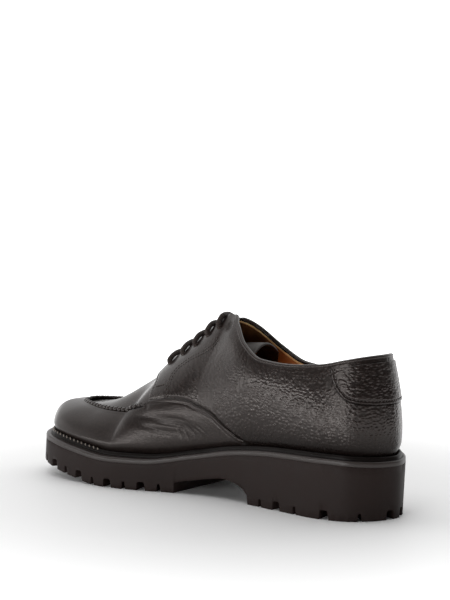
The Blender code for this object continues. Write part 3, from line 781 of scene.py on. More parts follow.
def lug_cutter():
    """All the notches and slots of the tread as one object, used only to cut."""
    bm = bmesh.new()
    outside = 4.0
    for inner_place, notch in notch_places():
        for place in (inner_place, LOOP - inner_place):
            out = outward(np.asarray(place))
            middle = tread_edge(np.asarray(place)) + out * (outside - NOTCH_REACH) / 2
            add_wedge(bm, middle, out, outside + NOTCH_REACH, notch)
        inner_edge = tread_edge(np.asarray(inner_place))
        outer_edge = tread_edge(np.asarray(LOOP - inner_place))
        width = np.linalg.norm(outer_edge - inner_edge)
        length = width - 2 * TREAD_SLOT_INSET
        if notch is WIDE_NOTCH and length > TREAD_SLOT_INSET:
            run = (outer_edge - inner_edge) / width
            add_wedge(bm, (inner_edge + outer_edge) / 2, run, length, TREAD_SLOT)
    mesh = bpy.data.meshes.new("lug_cutter")
    bm.to_mesh(mesh)
    bm.free()
    cutter = bpy.data.objects.new("lug_cutter", mesh)
    bpy.context.scene.collection.objects.link(cutter)
    return cutter


def applied(piece):
    """Writes the piece's modifiers into its mesh."""
    graph = bpy.context.evaluated_depsgraph_get()
    mesh = bpy.data.meshes.new_from_object(piece.evaluated_get(graph))
    old = piece.data
    piece.modifiers.clear()
    piece.data = mesh
    bpy.data.meshes.remove(old)


class SHOE_OT_outsole(bpy.types.Operator):
    """One-piece rubber sole with forefoot, arched waist, heel block and lugs"""

    bl_idname = "shoe.make_outsole"
    bl_label = "Outsole"

    def execute(self, context):
        material = plain_material(
            "styrene_rubber_moulded", colours().rubber, 0.8, 0.06, 0.6, Specular_IOR_Level=0.22
        )
        steps = [float(section_at(along)) for along, height in TREAD_ROWS]
        fine = np.concatenate([np.arange(0, TOE + 0.05, 0.125), steps])
        stations = np.unique(np.round(fine, 3))
        shares = np.linspace(0.0, 1.0, 9)

        def between(edge_of, height_of):
            def place(share, station):
                inner, outer = edge_of(station), edge_of(LOOP - station)
                plan = inner + (outer - inner) * share[:, None]
                return np.concatenate([plan, height_of(station, plan)[:, None]], -1)

            return place

        lower = between(tread_edge, lambda station, plan: tread(RING["along"](station)))
        upper = between(outline, lambda station, plan: ledge(plan[:, 1]) - WELT_THICK - GAP)
        bm = slab(shares, stations, lower, upper)
        walls = [edge for edge in bm.edges if abs(edge.verts[0].co.z - edge.verts[1].co.z) > 8 * MM]
        bmesh.ops.subdivide_edges(bm, edges=walls, cuts=5, use_grid_fill=True)
        piece = add_piece(bm, "outsole_rubber", material, "sole_rubber", "outsole")
        cut = piece.modifiers.new("lugs", "BOOLEAN")
        cut.operation = "DIFFERENCE"
        cut.object = lug_cutter()
        cut.use_self = True
        soft = piece.modifiers.new("soft_edges", "BEVEL")
        soft.width = 0.55 * MM
        soft.segments = 2
        soft.limit_method = "ANGLE"
        soft.angle_limit = math.radians(38)
        soft.harden_normals = True
        applied(piece)
        piece.data.shade_smooth()
        piece.data.set_sharp_from_angle(angle=math.radians(48))
        bpy.data.objects.remove(bpy.data.objects["lug_cutter"])
        return {"FINISHED"}


def welt_section(place):
    """Distance in from the edge and height over the ledge, round the welt's section."""
    foot = RING["margin"](place)
    rows = (
        (0.4, -WELT_THICK - GAP, 0), (0.1, -WELT_THICK - GAP + 0.1, 0), (0.0, -WELT_THICK + 0.2, 0),
        (0.0, -1.0, 0), (0.2, -0.4, 0), (0.9, 0.0, 0), (-4.9, 0.1, 1), (-4.45, -0.5, 1), (-4.05, -0.3, 1),
        (-3.85, 0.6, 1), (-3.75, 1.3, 1), (-3.5, 2.1, 1), (-3.05, 2.65, 1), (-2.5, BEAD_RISE, 1),
        (-1.95, 2.65, 1), (-1.5, 2.1, 1), (-1.25, 1.3, 1), (-1.1, -0.3, 1), (-0.6, -0.5, 1),
        (WELT_INNER, -0.5, 1), (WELT_INNER, -WELT_THICK, 1),
    )
    return foot, np.array(rows)


class SHOE_OT_welt(bpy.types.Operator):
    """Storm welt: a ledge to the sole's edge and a bead turned up against the upper"""

    bl_idname = "shoe.make_welt"
    bl_label = "Welt"

    def execute(self, context):
        material = plain_material(
            "bridle_leather_burnished", colours().welt, 1.1, 0.05, 0.4, Specular_IOR_Level=0.45
        )
        places = np.linspace(0.0, LOOP, 16 * LOOP + 1)
        corners = np.append(np.arange(len(welt_section(0.0)[1])), 0)
        bm = unit_grid(places, corners)
        place, corner = grid_values(bm, places, corners)
        order = np.rint(
            (np.array([vertex.co.y for vertex in bm.verts]) + 0.5) * (len(corners) - 1)
        ).astype(int)
        foot, rows = welt_section(place)
        row = rows[corners[order]]
        # Painted shade: the groove before the bead, the bead and the welt inside it are painted dark.
        beside_bead = (row[:, 2] > 0) & (row[:, 0] > -4.8)
        put(bm, inset(place, row[:, 0] + row[:, 2] * foot, row[:, 1]), fold=0.85 * beside_bead)
        close_up(bm)
        add_piece(bm, "welt_storm", material, "welt", "welt")
        return {"FINISHED"}


class SHOE_OT_insole(bpy.types.Operator):
    """Leather footbed inside the welt, hollowed a little under the heel and ball"""

    bl_idname = "shoe.make_insole"
    bl_label = "Insole"

    def execute(self, context):
        material = plain_material("bark_tanned_footbed", colours().lining, 1.2, 0.1, 0.55)

        def face(height, dip):
            def place(share, station):
                distance = RING["margin"](station) + WELT_INNER + GAP
                inner = inset(station, distance, height)
                outer = inset(LOOP - station, distance, height)
                points = inner + (outer - inner) * share[:, None]
                points[:, 2] -= dip * 4 * share * (1 - share)
                return points

            return place

        stations = np.linspace(0.0, TOE, 8 * TOE + 1)
        shares = np.linspace(0.0, 1.0, 13)
        bm = slab(shares, stations, face(-WELT_THICK, 0.0), face(INSOLE_THICK - WELT_THICK, 1.2))
        add_piece(bm, "insole_leather", material, "lining", "insole")
        return {"FINISHED"}


def crease_depth(points):
    """How far the folds of the flexed vamp push its leather in."""
    depth = np.zeros(len(points))
    for values in CREASE_ROWS:
        crease = dict(zip(CREASE_COLUMNS, values))
        steps = np.arange(3)
        fine = np.linspace(0, 2, 161)
        reach = 3.0 * crease["width"]
        line_section = Smooth(steps, [crease[f"section_{i}"] for i in (1, 2, 3)])(fine)
        line_share = Smooth(steps, [crease[f"share_{i}"] for i in (1, 2, 3)])(fine)
        for side, strength in ((-1, 1.0), (1, 0.75)):
            line = rib(mirrored(line_section, side), line_share)
            inside = ((points > line.min(0) - reach) & (points < line.max(0) + reach)).all(-1)
            near = np.where(inside)[0]
            gaps = np.linalg.norm(points[near][:, None] - line[None], axis=-1)
            closest = gaps.argmin(1)
            fade = np.sin(np.pi * np.clip(closest / 160, 0.04, 0.96)) ** 0.6
            depth[near] += strength * crease["depth"] * fade * trough(gaps.min(1), crease["width"])
    return depth


def in_apron(points, clear):
    """True inside the apron's U, grown by clear."""
    x, y = points[..., 0], points[..., 1]
    first, last = APRON_ROWS[0][0] - clear, APRON_ROWS[-1][0] + clear
    wide = np.abs(x - APRON_MIDDLE) < apron_half_width(y - clear) + clear
    return (first < y) & (y < last) & wide


def vamp_tops(sections):
    """Height shares where the vamp ends: along the quarters' edge, then beside the apron's seam."""
    under_quarter = vamp_back(from_heel(sections))
    clear = SEAM_RADIUS - 0.4
    shares = np.linspace(0.3, 1.0, 281)
    places = np.broadcast_arrays(sections[:, None], shares[None])
    inside = in_apron(skin(*places, SEAM_LIFT), clear)
    first = np.where(inside.any(1), inside.argmax(1), len(shares) - 1)
    low, high = shares[np.maximum(first - 1, 0)], shares[first]
    for _ in range(14):
        middle = (low + high) / 2
        entered = in_apron(skin(sections, middle, SEAM_LIFT), clear)
        low, high = np.where(entered, low, middle), np.where(entered, middle, high)
    return np.minimum(under_quarter, high)


def toward_one(count, fine):
    """Shares from 0 to 1, close together near 1."""
    t = np.linspace(0.0, 1.0, count)
    return 1.0 - (1.0 - t) ** fine


def vamp_edge_line():
    """The vamp's top edge all the way round, as close points on the shell."""
    start = 6.05
    sections = np.linspace(start, LOOP - start, 900)
    return rib(sections, vamp_tops(sections))


class SHOE_OT_upper(bpy.types.Operator):
    """Shell of the upper with the apron, and its tan lining with a raw top edge"""

    bl_idname = "shoe.make_upper"
    bl_label = "Shell and lining"

    def execute(self, context):
        leather = leather_material("cowhide_apron_waxed", colours().leather, mm_of(sizes().pebble) * 0.6)
        places = np.linspace(0.0, LOOP, 8 * LOOP + 1)
        shares = toward_one(60, 1.25)
        bm = slab(
            places,
            shares,
            lambda place, share: skin(place, share, -0.7),
            lambda place, share: skin(place, share, 0.0),
            grain=lambda place, share: 0.12 + 0.25 * ease(0.75, 0.6, share),
        )
        add_piece(bm, "upper_shell", leather, "upper_leather", "upper")
        tan = plain_material("lining_calf_bark_tanned", colours().lining, 0.9, 0.08, 0.5, Sheen_Weight=0.05)
        # Painted shade: the lining is painted much darker toward the front of the shoe, where its inside
        # lies in shade.
        bm = slab(
            places,
            shares,
            lambda place, share: skin(place, share, -WALL),
            lambda place, share: skin(place, share, -0.8),
            fold=lambda place, share: 0.9 * ease(6.0, 8.2, from_heel(place)),
        )
        add_piece(bm, "upper_lining", tan, "lining")
        # The cut edge's pale colour is partly its own and partly a painted highlight.
        raw = plain_material("lining_raw_edge", colours().raw_edge_and_highlight, 0.5, 0.05, 0.7)
        run = np.linspace(-8.9, 8.9, 400)
        line = past_top(run, 0.9, -1.25)
        ups = shell_normal(run, np.ones_like(run))

        def strip(length, angle):
            return 0.95 * np.cos(angle), 0.42 * np.sin(angle)

        add_piece(swept(line, ups, strip, 8), "lining_edge", raw, "lining")
        return {"FINISHED"}


class SHOE_OT_vamp(bpy.types.Operator):
    """Side wall of the toe, lapped over the quarters and creased where the foot bends"""

    bl_idname = "shoe.make_vamp"
    bl_label = "Vamp"

    def execute(self, context):
        pebble = mm_of(sizes().pebble) * 0.75
        leather = leather_material("cowhide_vamp_waxed", colours().leather, pebble, roughness=0.33)
        lift, rim = mm_of(sizes().vamp_lift), mm_of(sizes().rim)
        edge = vamp_edge_line()
        start = 6.12
        side = np.linspace(start, 12.4, 224)
        toe = np.linspace(12.4, LOOP - 12.4, 152)[1:-1]
        sections = np.concatenate([side, toe, LOOP - side[::-1]])
        top_at = dict(zip(np.round(sections, 6), vamp_tops(sections)))
        levels = toward_one(78, 1.35)
        foot = 0.02
        kept = {}

        def spot(section, level):
            top = np.array([top_at[value] for value in np.round(section, 6)])
            return section, np.minimum(foot, top) + (top - np.minimum(foot, top)) * level

        def outside(section, level):
            section, share = spot(section, level)
            base = rib(section, share)
            gap = distance_to(base, edge)
            tuck = ease(0.02, 0.15, share)
            sewn = ease(10.8, 9.8, from_heel(section))
            groove = (0.05 + 0.2 * sewn) * trough(gap - 2.9, 0.8)
            height = 0.25 + (lift - 0.25) * tuck * rounded(gap, rim) - groove * tuck
            kept["depth"] = crease_depth(base)
            height -= kept["depth"] * ease(1.5, 5.0, gap)
            return skin(section, share, height)

        def grain(section, level):
            section, share = spot(section, level)
            side = from_heel(section)
            return 0.4 * ease(13.5, 10.0, side) * ease(0.05, 0.2, share) + 0.05

        # Painted shade: darker, with less highlight, in the creases, in the stitch groove inside the top
        # edge and low down by the welt.
        def fold(section, level):
            section, share = spot(section, level)
            base = rib(section, share)
            near_edge = 0.15 * trough(distance_to(base, edge) - 2.9, 0.6)
            depth = np.maximum(kept["depth"], 0.0)
            by_welt = 0.6 * ease(0.14, 0.0, share)
            return np.clip(0.5 * depth + near_edge + by_welt, 0.0, 1.0)

        bm = slab(sections, levels, lambda a, b: skin(*spot(a, b), 0.05), outside, grain=grain, fold=fold)
        add_piece(bm, "vamp_leather", leather, "upper_leather", "vamp")
        return {"FINISHED"}


def quarter_spot(side):
    """Section and share of a quarter's point, from the back seam (0) to its front edge (1)."""
    section_rows, share_rows = edge_curve(QUARTER_FRONT_ROWS, 601)
    steps = np.linspace(0.0, 1.0, 601)

    def spot(across, level):
        front = np.interp(level, steps, section_rows)
        level = np.minimum(level, 1.0)
        share = level + (np.interp(level, steps, share_rows) - level) * across**2
        return mirrored(front * across, side), share

    return spot


def raised_top(section, share, level, lift):
    """A point of the panel; levels past 1 go on beyond the shell's edge, a thousandth for a millimetre."""
    on_shell = skin(section, share, lift)
    beyond = past_top(section, (level - 1.0) / MM, lift)
    return np.where((level > 1.0)[:, None], beyond, on_shell)


def facing_line(side):
    """Free front edge of a facing on the shell."""
    section, share = edge_curve(QUARTER_FRONT_ROWS[FACING_FOOT:], 300)
    return rib(mirrored(section, side), share)


class SHOE_OT_quarters(bpy.types.Operator):
    """The two back panels of pebbled leather, each with its facing for the lace"""

    bl_idname = "shoe.make_quarters"
    bl_label = "Quarters"

    def execute(self, context):
        leather = leather_material(
            "cowhide_quarter_tumbled", colours().leather, mm_of(sizes().pebble), (1.0, 0.85, 1.1)
        )
        lift, rim = mm_of(sizes().quarter_lift), mm_of(sizes().rim)
        vamp_edge = vamp_edge_line()
        tab = rib(*tab_edge(300))
        across = toward_one(170, 1.35)
        levels = np.concatenate([np.linspace(0.0, 1.0, 150), 1.0 + np.array([0.5, 1.0, 1.6]) * MM])
        for side, name in ((-1, "quarter_inner"), (1, "quarter_outer")):
            spot = quarter_spot(side)
            front = facing_line(side)

            def outside(column, row, spot=spot, front=front):
                section, share = spot(column, row)
                base = rib(section, share)
                free = distance_to(base, front)
                lap = distance_to(base, vamp_edge)
                part = from_heel(section)
                covered = (share < vamp_back(part)) & (part < 10.6)
                lap = np.where(covered, 0.0, lap)
                height = 0.3 + (lift - 0.3) * ease(0.02, 0.14, share)
                height = np.where(part < 10.6, 0.9 + (height - 0.9) * ease(0.1, 2.4, lap), height)
                height -= 0.35 * trough(free - 2.2, 0.6) * ease(0.54, 0.62, share)
                height = 0.2 + (height - 0.2) * np.where(share > 0.5, rounded(free, rim), 1.0)
                return raised_top(section, share, row, height)

            def grain(column, row, spot=spot):
                section, share = spot(column, row)
                part = from_heel(section)
                body = ease(0.02, 0.2, share) * (1.0 - 0.55 * ease(0.62, 0.9, share))
                return 0.1 + 0.9 * body * (1.0 - 0.75 * ease(6.6, 9.5, part))

            # Painted shade: darker, with less highlight, along the vamp's edge, beside the heel tab's edge,
            # in the stitch groove along the facing's free edge and low down by the welt.
            def fold(column, row, spot=spot, front=front):
                section, share = spot(column, row)
                base = rib(section, share)
                part = from_heel(section)
                lap = np.where(part < 10.6, 0.7 - 0.7 * ease(0.2, 1.0, distance_to(base, vamp_edge)), 0.0)
                under_tab = 0.9 - 0.9 * ease(0.3, 1.1, distance_to(base, tab))
                row_line = 0.4 * trough(distance_to(base, front) - 2.2, 0.5) * ease(0.54, 0.62, share)
                by_welt = 0.75 * ease(0.42, 0.0, share)
                return np.clip(lap + row_line + under_tab + by_welt, 0.0, 1.0)

            bm = slab(
                across,
                levels,
                lambda a, b, spot=spot: raised_top(*spot(a, b), b, 0.1),
                outside,
                grain=grain,
                fold=fold,
            )
            add_piece(bm, name + "_leather", leather, "upper_leather", name)
        return {"FINISHED"}


def tab_edge(count):
    """Section and share along the tab's free edge, from the inner topline round to the outer one."""
    section, share = edge_curve(TAB_ROWS, count)
    return np.concatenate([section[::-1], -section[1:]]), np.concatenate([share[::-1], share[1:]])


class SHOE_OT_heel_tab(bpy.types.Operator):
    """Patch over the top of the back seam, with round lower corners"""

    bl_idname = "shoe.make_heel_tab"
    bl_label = "Heel tab"

    def execute(self, context):
        leather = leather_material(
            "cowhide_tab_tumbled", colours().leather, mm_of(sizes().pebble), (0.75, 0.75, 1.3)
        )
        lift, rim = mm_of(sizes().tab_lift), mm_of(sizes().rim)
        edge = rib(*tab_edge(300))
        rows = len(TAB_ROWS) - 1
        section_rows, share_rows = edge_curve(TAB_ROWS, 401)
        steps = np.linspace(0.0, rows, 401)

        def spot(turn, level):
            section = np.interp(np.abs(turn), steps, section_rows) * np.sign(turn)
            low = np.interp(np.abs(turn), steps, share_rows)
            return section, low + (0.985 - low) * (1.0 - level)

        def outside(turn, level):
            section, share = spot(turn, level)
            base = rib(section, share)
            gap = distance_to(base, edge)
            height = 1.0 + (lift - 1.0) * rounded(gap, rim)
            return skin(section, share, height - 0.35 * trough(gap - 2.3, 0.65))

        # Painted shade in the stitch groove inside the tab's edge.
        def fold(turn, level):
            gap = distance_to(rib(*spot(turn, level)), edge)
            return 0.45 * trough(gap - 2.3, 0.5)

        turns = np.linspace(-rows, rows, 181)
        bm = slab(
            turns,
            toward_one(60, 1.5),
            lambda a, b: skin(*spot(a, b), 0.9),
            outside,
            grain=lambda a, b: np.full_like(a, 1.0),
            fold=fold,
        )
        add_piece(bm, "heel_tab_leather", leather, "upper_leather", "heel_tab")
        return {"FINISHED"}


class SHOE_OT_binding(bpy.types.Operator):
    """Rolled leather edge along the topline, from facing to facing round the heel"""

    bl_idname = "shoe.make_binding"
    bl_label = "Collar binding"

    def execute(self, context):
        leather = leather_material("cowhide_binding_skived", colours().leather, 0.9)
        radius = mm_of(sizes().binding_radius)
        places = np.linspace(-8.95, 8.95, 500)
        line = past_top(places, 2.45, 0.25)
        ups = past_top(places, 9.0) - line

        def section(length, angle):
            run = length / length.max()
            end = np.clip(np.minimum(run, 1.0 - run) * 60, 0.15, 1.0)
            return 1.15 * radius * np.cos(angle) * end, radius * np.sin(angle) * end

        bm = swept(line, ups, section, 16)
        add_piece(bm, "collar_roll", leather, "upper_leather", "collar_binding")
        return {"FINISHED"}


def over_plan(plan, lift):
    """Sections and shares where the lifted vamp has the points of the plan."""
    sections, shares = np.meshgrid(np.linspace(10.5, LOOP - 10.5, 301), np.linspace(0.4, 1.0, 61))
    sections, shares = sections.ravel(), shares.ravel()
    points = skin(sections, shares, lift)[:, :2]
    side = np.where(plan[:, 0] < APRON_MIDDLE, -1, 1)
    gaps = np.linalg.norm(plan[:, None] - points[None], axis=-1)
    gaps += 1e3 * ((sections[None] > TOE) != (side[:, None] > 0))
    best = gaps.argmin(1)
    section, share = sections[best], shares[best]
    step = 1e-3
    for _ in range(8):
        here = skin(section, share, lift)[:, :2]
        by_section = (skin(section + step, share, lift)[:, :2] - here) / step
        by_share = (skin(section, share + step, lift)[:, :2] - here) / step
        miss = plan - here
        det = by_section[:, 0] * by_share[:, 1] - by_section[:, 1] * by_share[:, 0]
        det = np.where(np.abs(det) < 1.0, np.sign(det) + (det == 0), det)
        move_section = (miss[:, 0] * by_share[:, 1] - miss[:, 1] * by_share[:, 0]) / det
        move_share = (by_section[:, 0] * miss[:, 1] - by_section[:, 1] * miss[:, 0]) / det
        section = section + np.clip(move_section, -0.05, 0.05)
        share = np.clip(share + np.clip(move_share, -0.01, 0.01), 0.3, 1.0)
    return section, share


def apron_line(count):
    """Sections and shares along the apron's seam, from the inner throat round the toe."""
    apron = columns_of(APRON_COLUMNS, APRON_ROWS)
    steps = np.arange(len(APRON_ROWS))
    turn = np.linspace(-steps[-1], steps[-1], count)
    step = steps[-1] - np.abs(turn)
    x = APRON_MIDDLE + np.sign(turn) * Smooth(steps, apron["half_width"])(step)
    return over_plan(np.stack([x, Smooth(steps, apron["along"])(step)], -1), SEAM_LIFT)


def evened(points, *others, spacing):
    """The line and what runs along it, with a point every spacing."""
    run = lengths_of(points)
    fine = np.linspace(0.0, run[-1], int(run[-1] / spacing) + 1)
    return [
        np.stack([np.interp(fine, run, values[:, i]) for i in range(values.shape[1])], -1)
        for values in (points, *others)
    ]


class SHOE_OT_apron_seam(bpy.types.Operator):
    """Raised hand-sewn seam in a U round the toe, drawn in at every stitch"""

    bl_idname = "shoe.make_apron_seam"
    bl_label = "Apron seam"

    def execute(self, context):
        leather = leather_material("cowhide_seam_gathered", colours().leather, 0.9)
        thread = plain_material("linen_thread_waxed", colours().thread, 0.3, 0.05, 0.5)
        pitch = mm_of(sizes().scallop_pitch)
        section, share = apron_line(400)
        base, ups = rib(section, share), shell_normal(section, share)
        line, ups = evened(base + ups * SEAM_LIFT, ups, spacing=0.45)
        total = lengths_of(line)[-1]

        def ridge(length, angle):
            wave = np.abs(np.sin(np.pi * length / pitch)) ** 0.6
            end = np.clip(np.minimum(length, total - length) / 14.0, 0.2, 1.0)
            side, up = np.cos(angle), np.sin(angle)
            out = np.where(side < 0, 1.0, 0.0)
            wide = (1.3 + out * (1.7 * wave - 0.8)) * end
            tall = (0.9 + 0.55 * wave) * end
            return side * wide, up * tall

        bm = swept(line, ups, ridge, 16)
        add_piece(bm, "apron_ridge", leather, "upper_leather", "apron_seam")
        tangents, sides, ups = route_frames(line, ups)
        run = lengths_of(line)
        whips = bmesh.new()
        for length in np.arange(pitch, total - pitch, pitch):
            i = int(np.argmin(np.abs(run - length)))
            arc = np.linspace(-0.35, math.pi + 0.25, 9)
            loop = (
                line[i]
                - np.outer(np.cos(arc), sides[i]) * -1.3
                + np.outer(np.sin(arc), ups[i]) * 1.3
                + np.outer(np.linspace(-0.5, 0.5, 9), tangents[i])
            )
            small = swept(loop, None, lambda size, angle: (0.3 * np.cos(angle), 0.3 * np.sin(angle)), 6)
            join_mesh(whips, small)
        add_piece(whips, "apron_whip_stitches", thread, "upper_leather")
        return {"FINISHED"}


class SHOE_OT_tongue(bpy.types.Operator):
    """Arched tongue from under the vamp, dropped back into the empty shoe"""

    bl_idname = "shoe.make_tongue"
    bl_label = "Tongue"

    def execute(self, context):
        leather = leather_material("cowhide_tongue_soft", colours().tongue, 1.4, roughness=0.5)
        rows = columns_of(TONGUE_COLUMNS, TONGUE_ROWS)
        steps = np.arange(len(TONGUE_ROWS))
        line = {name: Smooth(steps, rows[name]) for name in TONGUE_COLUMNS}
        last = steps[-1]

        def face(top):
            def place(across, step):
                half = line["half_width"](step)
                edge = np.minimum((1.0 - np.abs(across)) * half, (last - step) * 13.0)
                thick = TONGUE_THICK * (0.15 + 0.85 * rounded(edge, 1.6))
                dip = 0.3 * trough(edge - 3.0, 0.7) if top else 0.0
                middle = line["height"](step) - line["drop"](step) * across**2 - TONGUE_THICK / 2
                corner = 5.0 * ease(0.55, 1.0, np.abs(across)) ** 2 * ease(last - 1.0, last, step)
                height = middle + (thick / 2 if top else -thick / 2) - dip
                return np.stack([across * half, line["along"](step) + corner, height], -1)

            return place

        across = np.sin(np.linspace(-0.5, 0.5, 61) * math.pi)
        rows = last * toward_one(90, 1.3)
        bm = slab(across, rows, face(False), face(True), grain=lambda a, b: np.full_like(a, 0.5))
        add_piece(bm, "tongue_leather", leather, "tongue_leather", "tongue")
        return {"FINISHED"}


def lace_material():
    """Round polyester cord, braided over a core and waxed.

    Two sets of strands cross over each other, so that the cord shows small slanted bumps.
    """
    made, tree, shader = new_material(
        "polyester_cord_braided", colours().lace, Roughness=0.6, Specular_IOR_Level=0.3
    )
    route = add_node(tree, "ShaderNodeAttribute", attribute_name="route")
    split = add_node(tree, "ShaderNodeSeparateXYZ", {0: route.outputs["Vector"]})
    strand_pitch, strands = 3.0, 6
    waves = []
    for turn in (1, -1):
        angle = add_node(tree, "ShaderNodeMath", {0: split.outputs["Y"]}, operation="MULTIPLY")
        angle.inputs[1].default_value = turn * strands * 2 * math.pi
        phase = add_node(
            tree, "ShaderNodeMath", {0: split.outputs["X"], 2: angle.outputs[0]}, operation="MULTIPLY_ADD"
        )
        phase.inputs[1].default_value = 2 * math.pi / strand_pitch
        waves.append(add_node(tree, "ShaderNodeMath", {0: phase.outputs[0]}, operation="SINE"))
    weave = add_node(
        tree, "ShaderNodeMath", {0: waves[0].outputs[0], 1: waves[1].outputs[0]}, operation="MULTIPLY"
    )
    height = add_node(tree, "ShaderNodeMapRange", {"Value": weave.outputs[0]}, From_Min=-1.0)
    bump = add_node(
        tree, "ShaderNodeBump", {"Height": height.outputs[0]}, Strength=1.0, Distance=0.45 * MM
    )
    # Painted light and shade: each strand's crown is painted lighter and the dip between strands darker,
    # following the bumps' height.
    tree.links.new(tinted(tree, colours().lace, height.outputs[0], 0.55), shader.inputs["Base Color"])
    tree.links.new(bump.outputs[0], shader.inputs["Normal"])
    return made


def eyelet_stations():
    return np.linspace(*EYELET_SECTIONS, EYELETS)


def lace_bar(station, radius):
    """Points of one bar, from under the inner eyelet over the throat to under the outer one."""
    over = mm_of(sizes().quarter_lift) + radius
    shares = np.array([EYELET_SHARE - 0.012, EYELET_SHARE - 0.006, EYELET_SHARE + 0.02, 0.93, 0.975])
    lifts = np.array([-2.6, 0.2, over - 0.3, over + 0.2, over + 0.2])
    inner = skin(np.full(5, station), shares, lifts)
    outer = skin(np.full(5, LOOP - station), shares, lifts)[::-1]
    run = np.array([0.25, 0.5, 0.75])[:, None]
    arch = 1.8
    rise = np.array([0.0, 0.0, 1.0]) * arch * 4 * run * (1 - run)
    crown = inner[-1] + (outer[0] - inner[-1]) * run + rise
    return np.concatenate([inner, crown, outer])


class SHOE_OT_lace(bpy.types.Operator):
    """One lace through all the eyelets: bars over the throat, the runs between them under the facings"""

    bl_idname = "shoe.make_lace"
    bl_label = "Lace"

    def execute(self, context):
        radius = mm_of(sizes().lace_radius)
        stations = eyelet_stations()
        under = -WALL - radius - 0.6
        side_run = np.linspace(stations[-1], stations[0], 9)
        route = [skin(side_run, np.full(9, EYELET_SHARE - 0.02), np.full(9, under))]
        for i, station in enumerate(stations):
            route.append(lace_bar(station, radius))
            if i + 1 < EYELETS:
                start = skin(np.array([LOOP - station]), np.array([0.93]), np.array([under - 0.8]))[0]
                end = skin(np.array([stations[i + 1]]), np.array([0.93]), np.array([under - 0.8]))[0]
                route.append(start + (end - start) * np.array([[0.0], [0.5], [1.0]]))
        last = LOOP - stations[-1]
        route.append(skin(np.array([last]), np.array([EYELET_SHARE - 0.03]), np.array([under])))
        line = resampled(np.concatenate(route), 0.7)

        def section(length, angle):
            return radius * np.cos(angle), radius * np.sin(angle)

        bars = [f"lace_bar_{i + 1}" for i in range(EYELETS)]
        add_piece(swept(line, None, section, 14), "lace_cord", lace_material(), "lace", *bars)
        leather = leather_material("cowhide_punched_edge", colours().thread, 0.8)
        rims = bmesh.new()
        turn = np.linspace(0.0, 2 * math.pi, 25)
        for station in np.concatenate([stations, LOOP - stations]):
            spot = (np.array([station]), np.array([EYELET_SHARE + 0.002]))
            middle = skin(*spot, np.array([mm_of(sizes().quarter_lift)]))[0]
            up = shell_normal(*spot)[0]
            along = unit(np.cross(up, (0.0, 0.0, 1.0)))
            ring = np.outer(np.cos(turn), along) + np.outer(np.sin(turn), np.cross(up, along))
            ring = middle + ring * EYELET_RADIUS
            ups = np.tile(up, (len(turn), 1))
            join_mesh(rims, swept(ring, ups, lambda size, a: (0.4 * np.cos(a), 0.3 * np.sin(a)), 6))
        add_piece(rims, "eyelet_rims", leather, "upper_leather")
        return {"FINISHED"}


def add_stitches(bm, points, ups, pitch, length, width, slant=0.0):
    """A row of thread stitches along a line, each sunk a little at both ends."""
    tangents, sides, ups = route_frames(points, ups)
    run = lengths_of(points)
    for place in np.arange(pitch / 2, run[-1], pitch):
        i = int(np.argmin(np.abs(run - place)))
        ahead = unit(tangents[i] * math.cos(slant) + sides[i] * math.sin(slant))
        across = np.cross(ups[i], ahead)
        turn = Matrix((ahead * length / 2, across * width / 2, ups[i] * width / 2)).transposed()
        spot = Matrix.Translation(Vector(metres(points[i]))) @ (turn * MM).to_4x4()
        bmesh.ops.create_uvsphere(bm, u_segments=6, v_segments=5, radius=1.0, matrix=spot)


def row_on(section, share, lift):
    """A fine line on the shell for a row of stitches, and its normals."""
    steps = np.arange(len(section))
    fine = np.linspace(0, steps[-1], 400)
    section, share = Smooth(steps, section)(fine), Smooth(steps, share)(fine)
    return skin(section, share, lift), shell_normal(section, share)


def moved_in(points, ups, distance):
    """The line moved sideways over the surface."""
    tangents, sides, ups = route_frames(points, ups)
    return points + sides * distance, ups


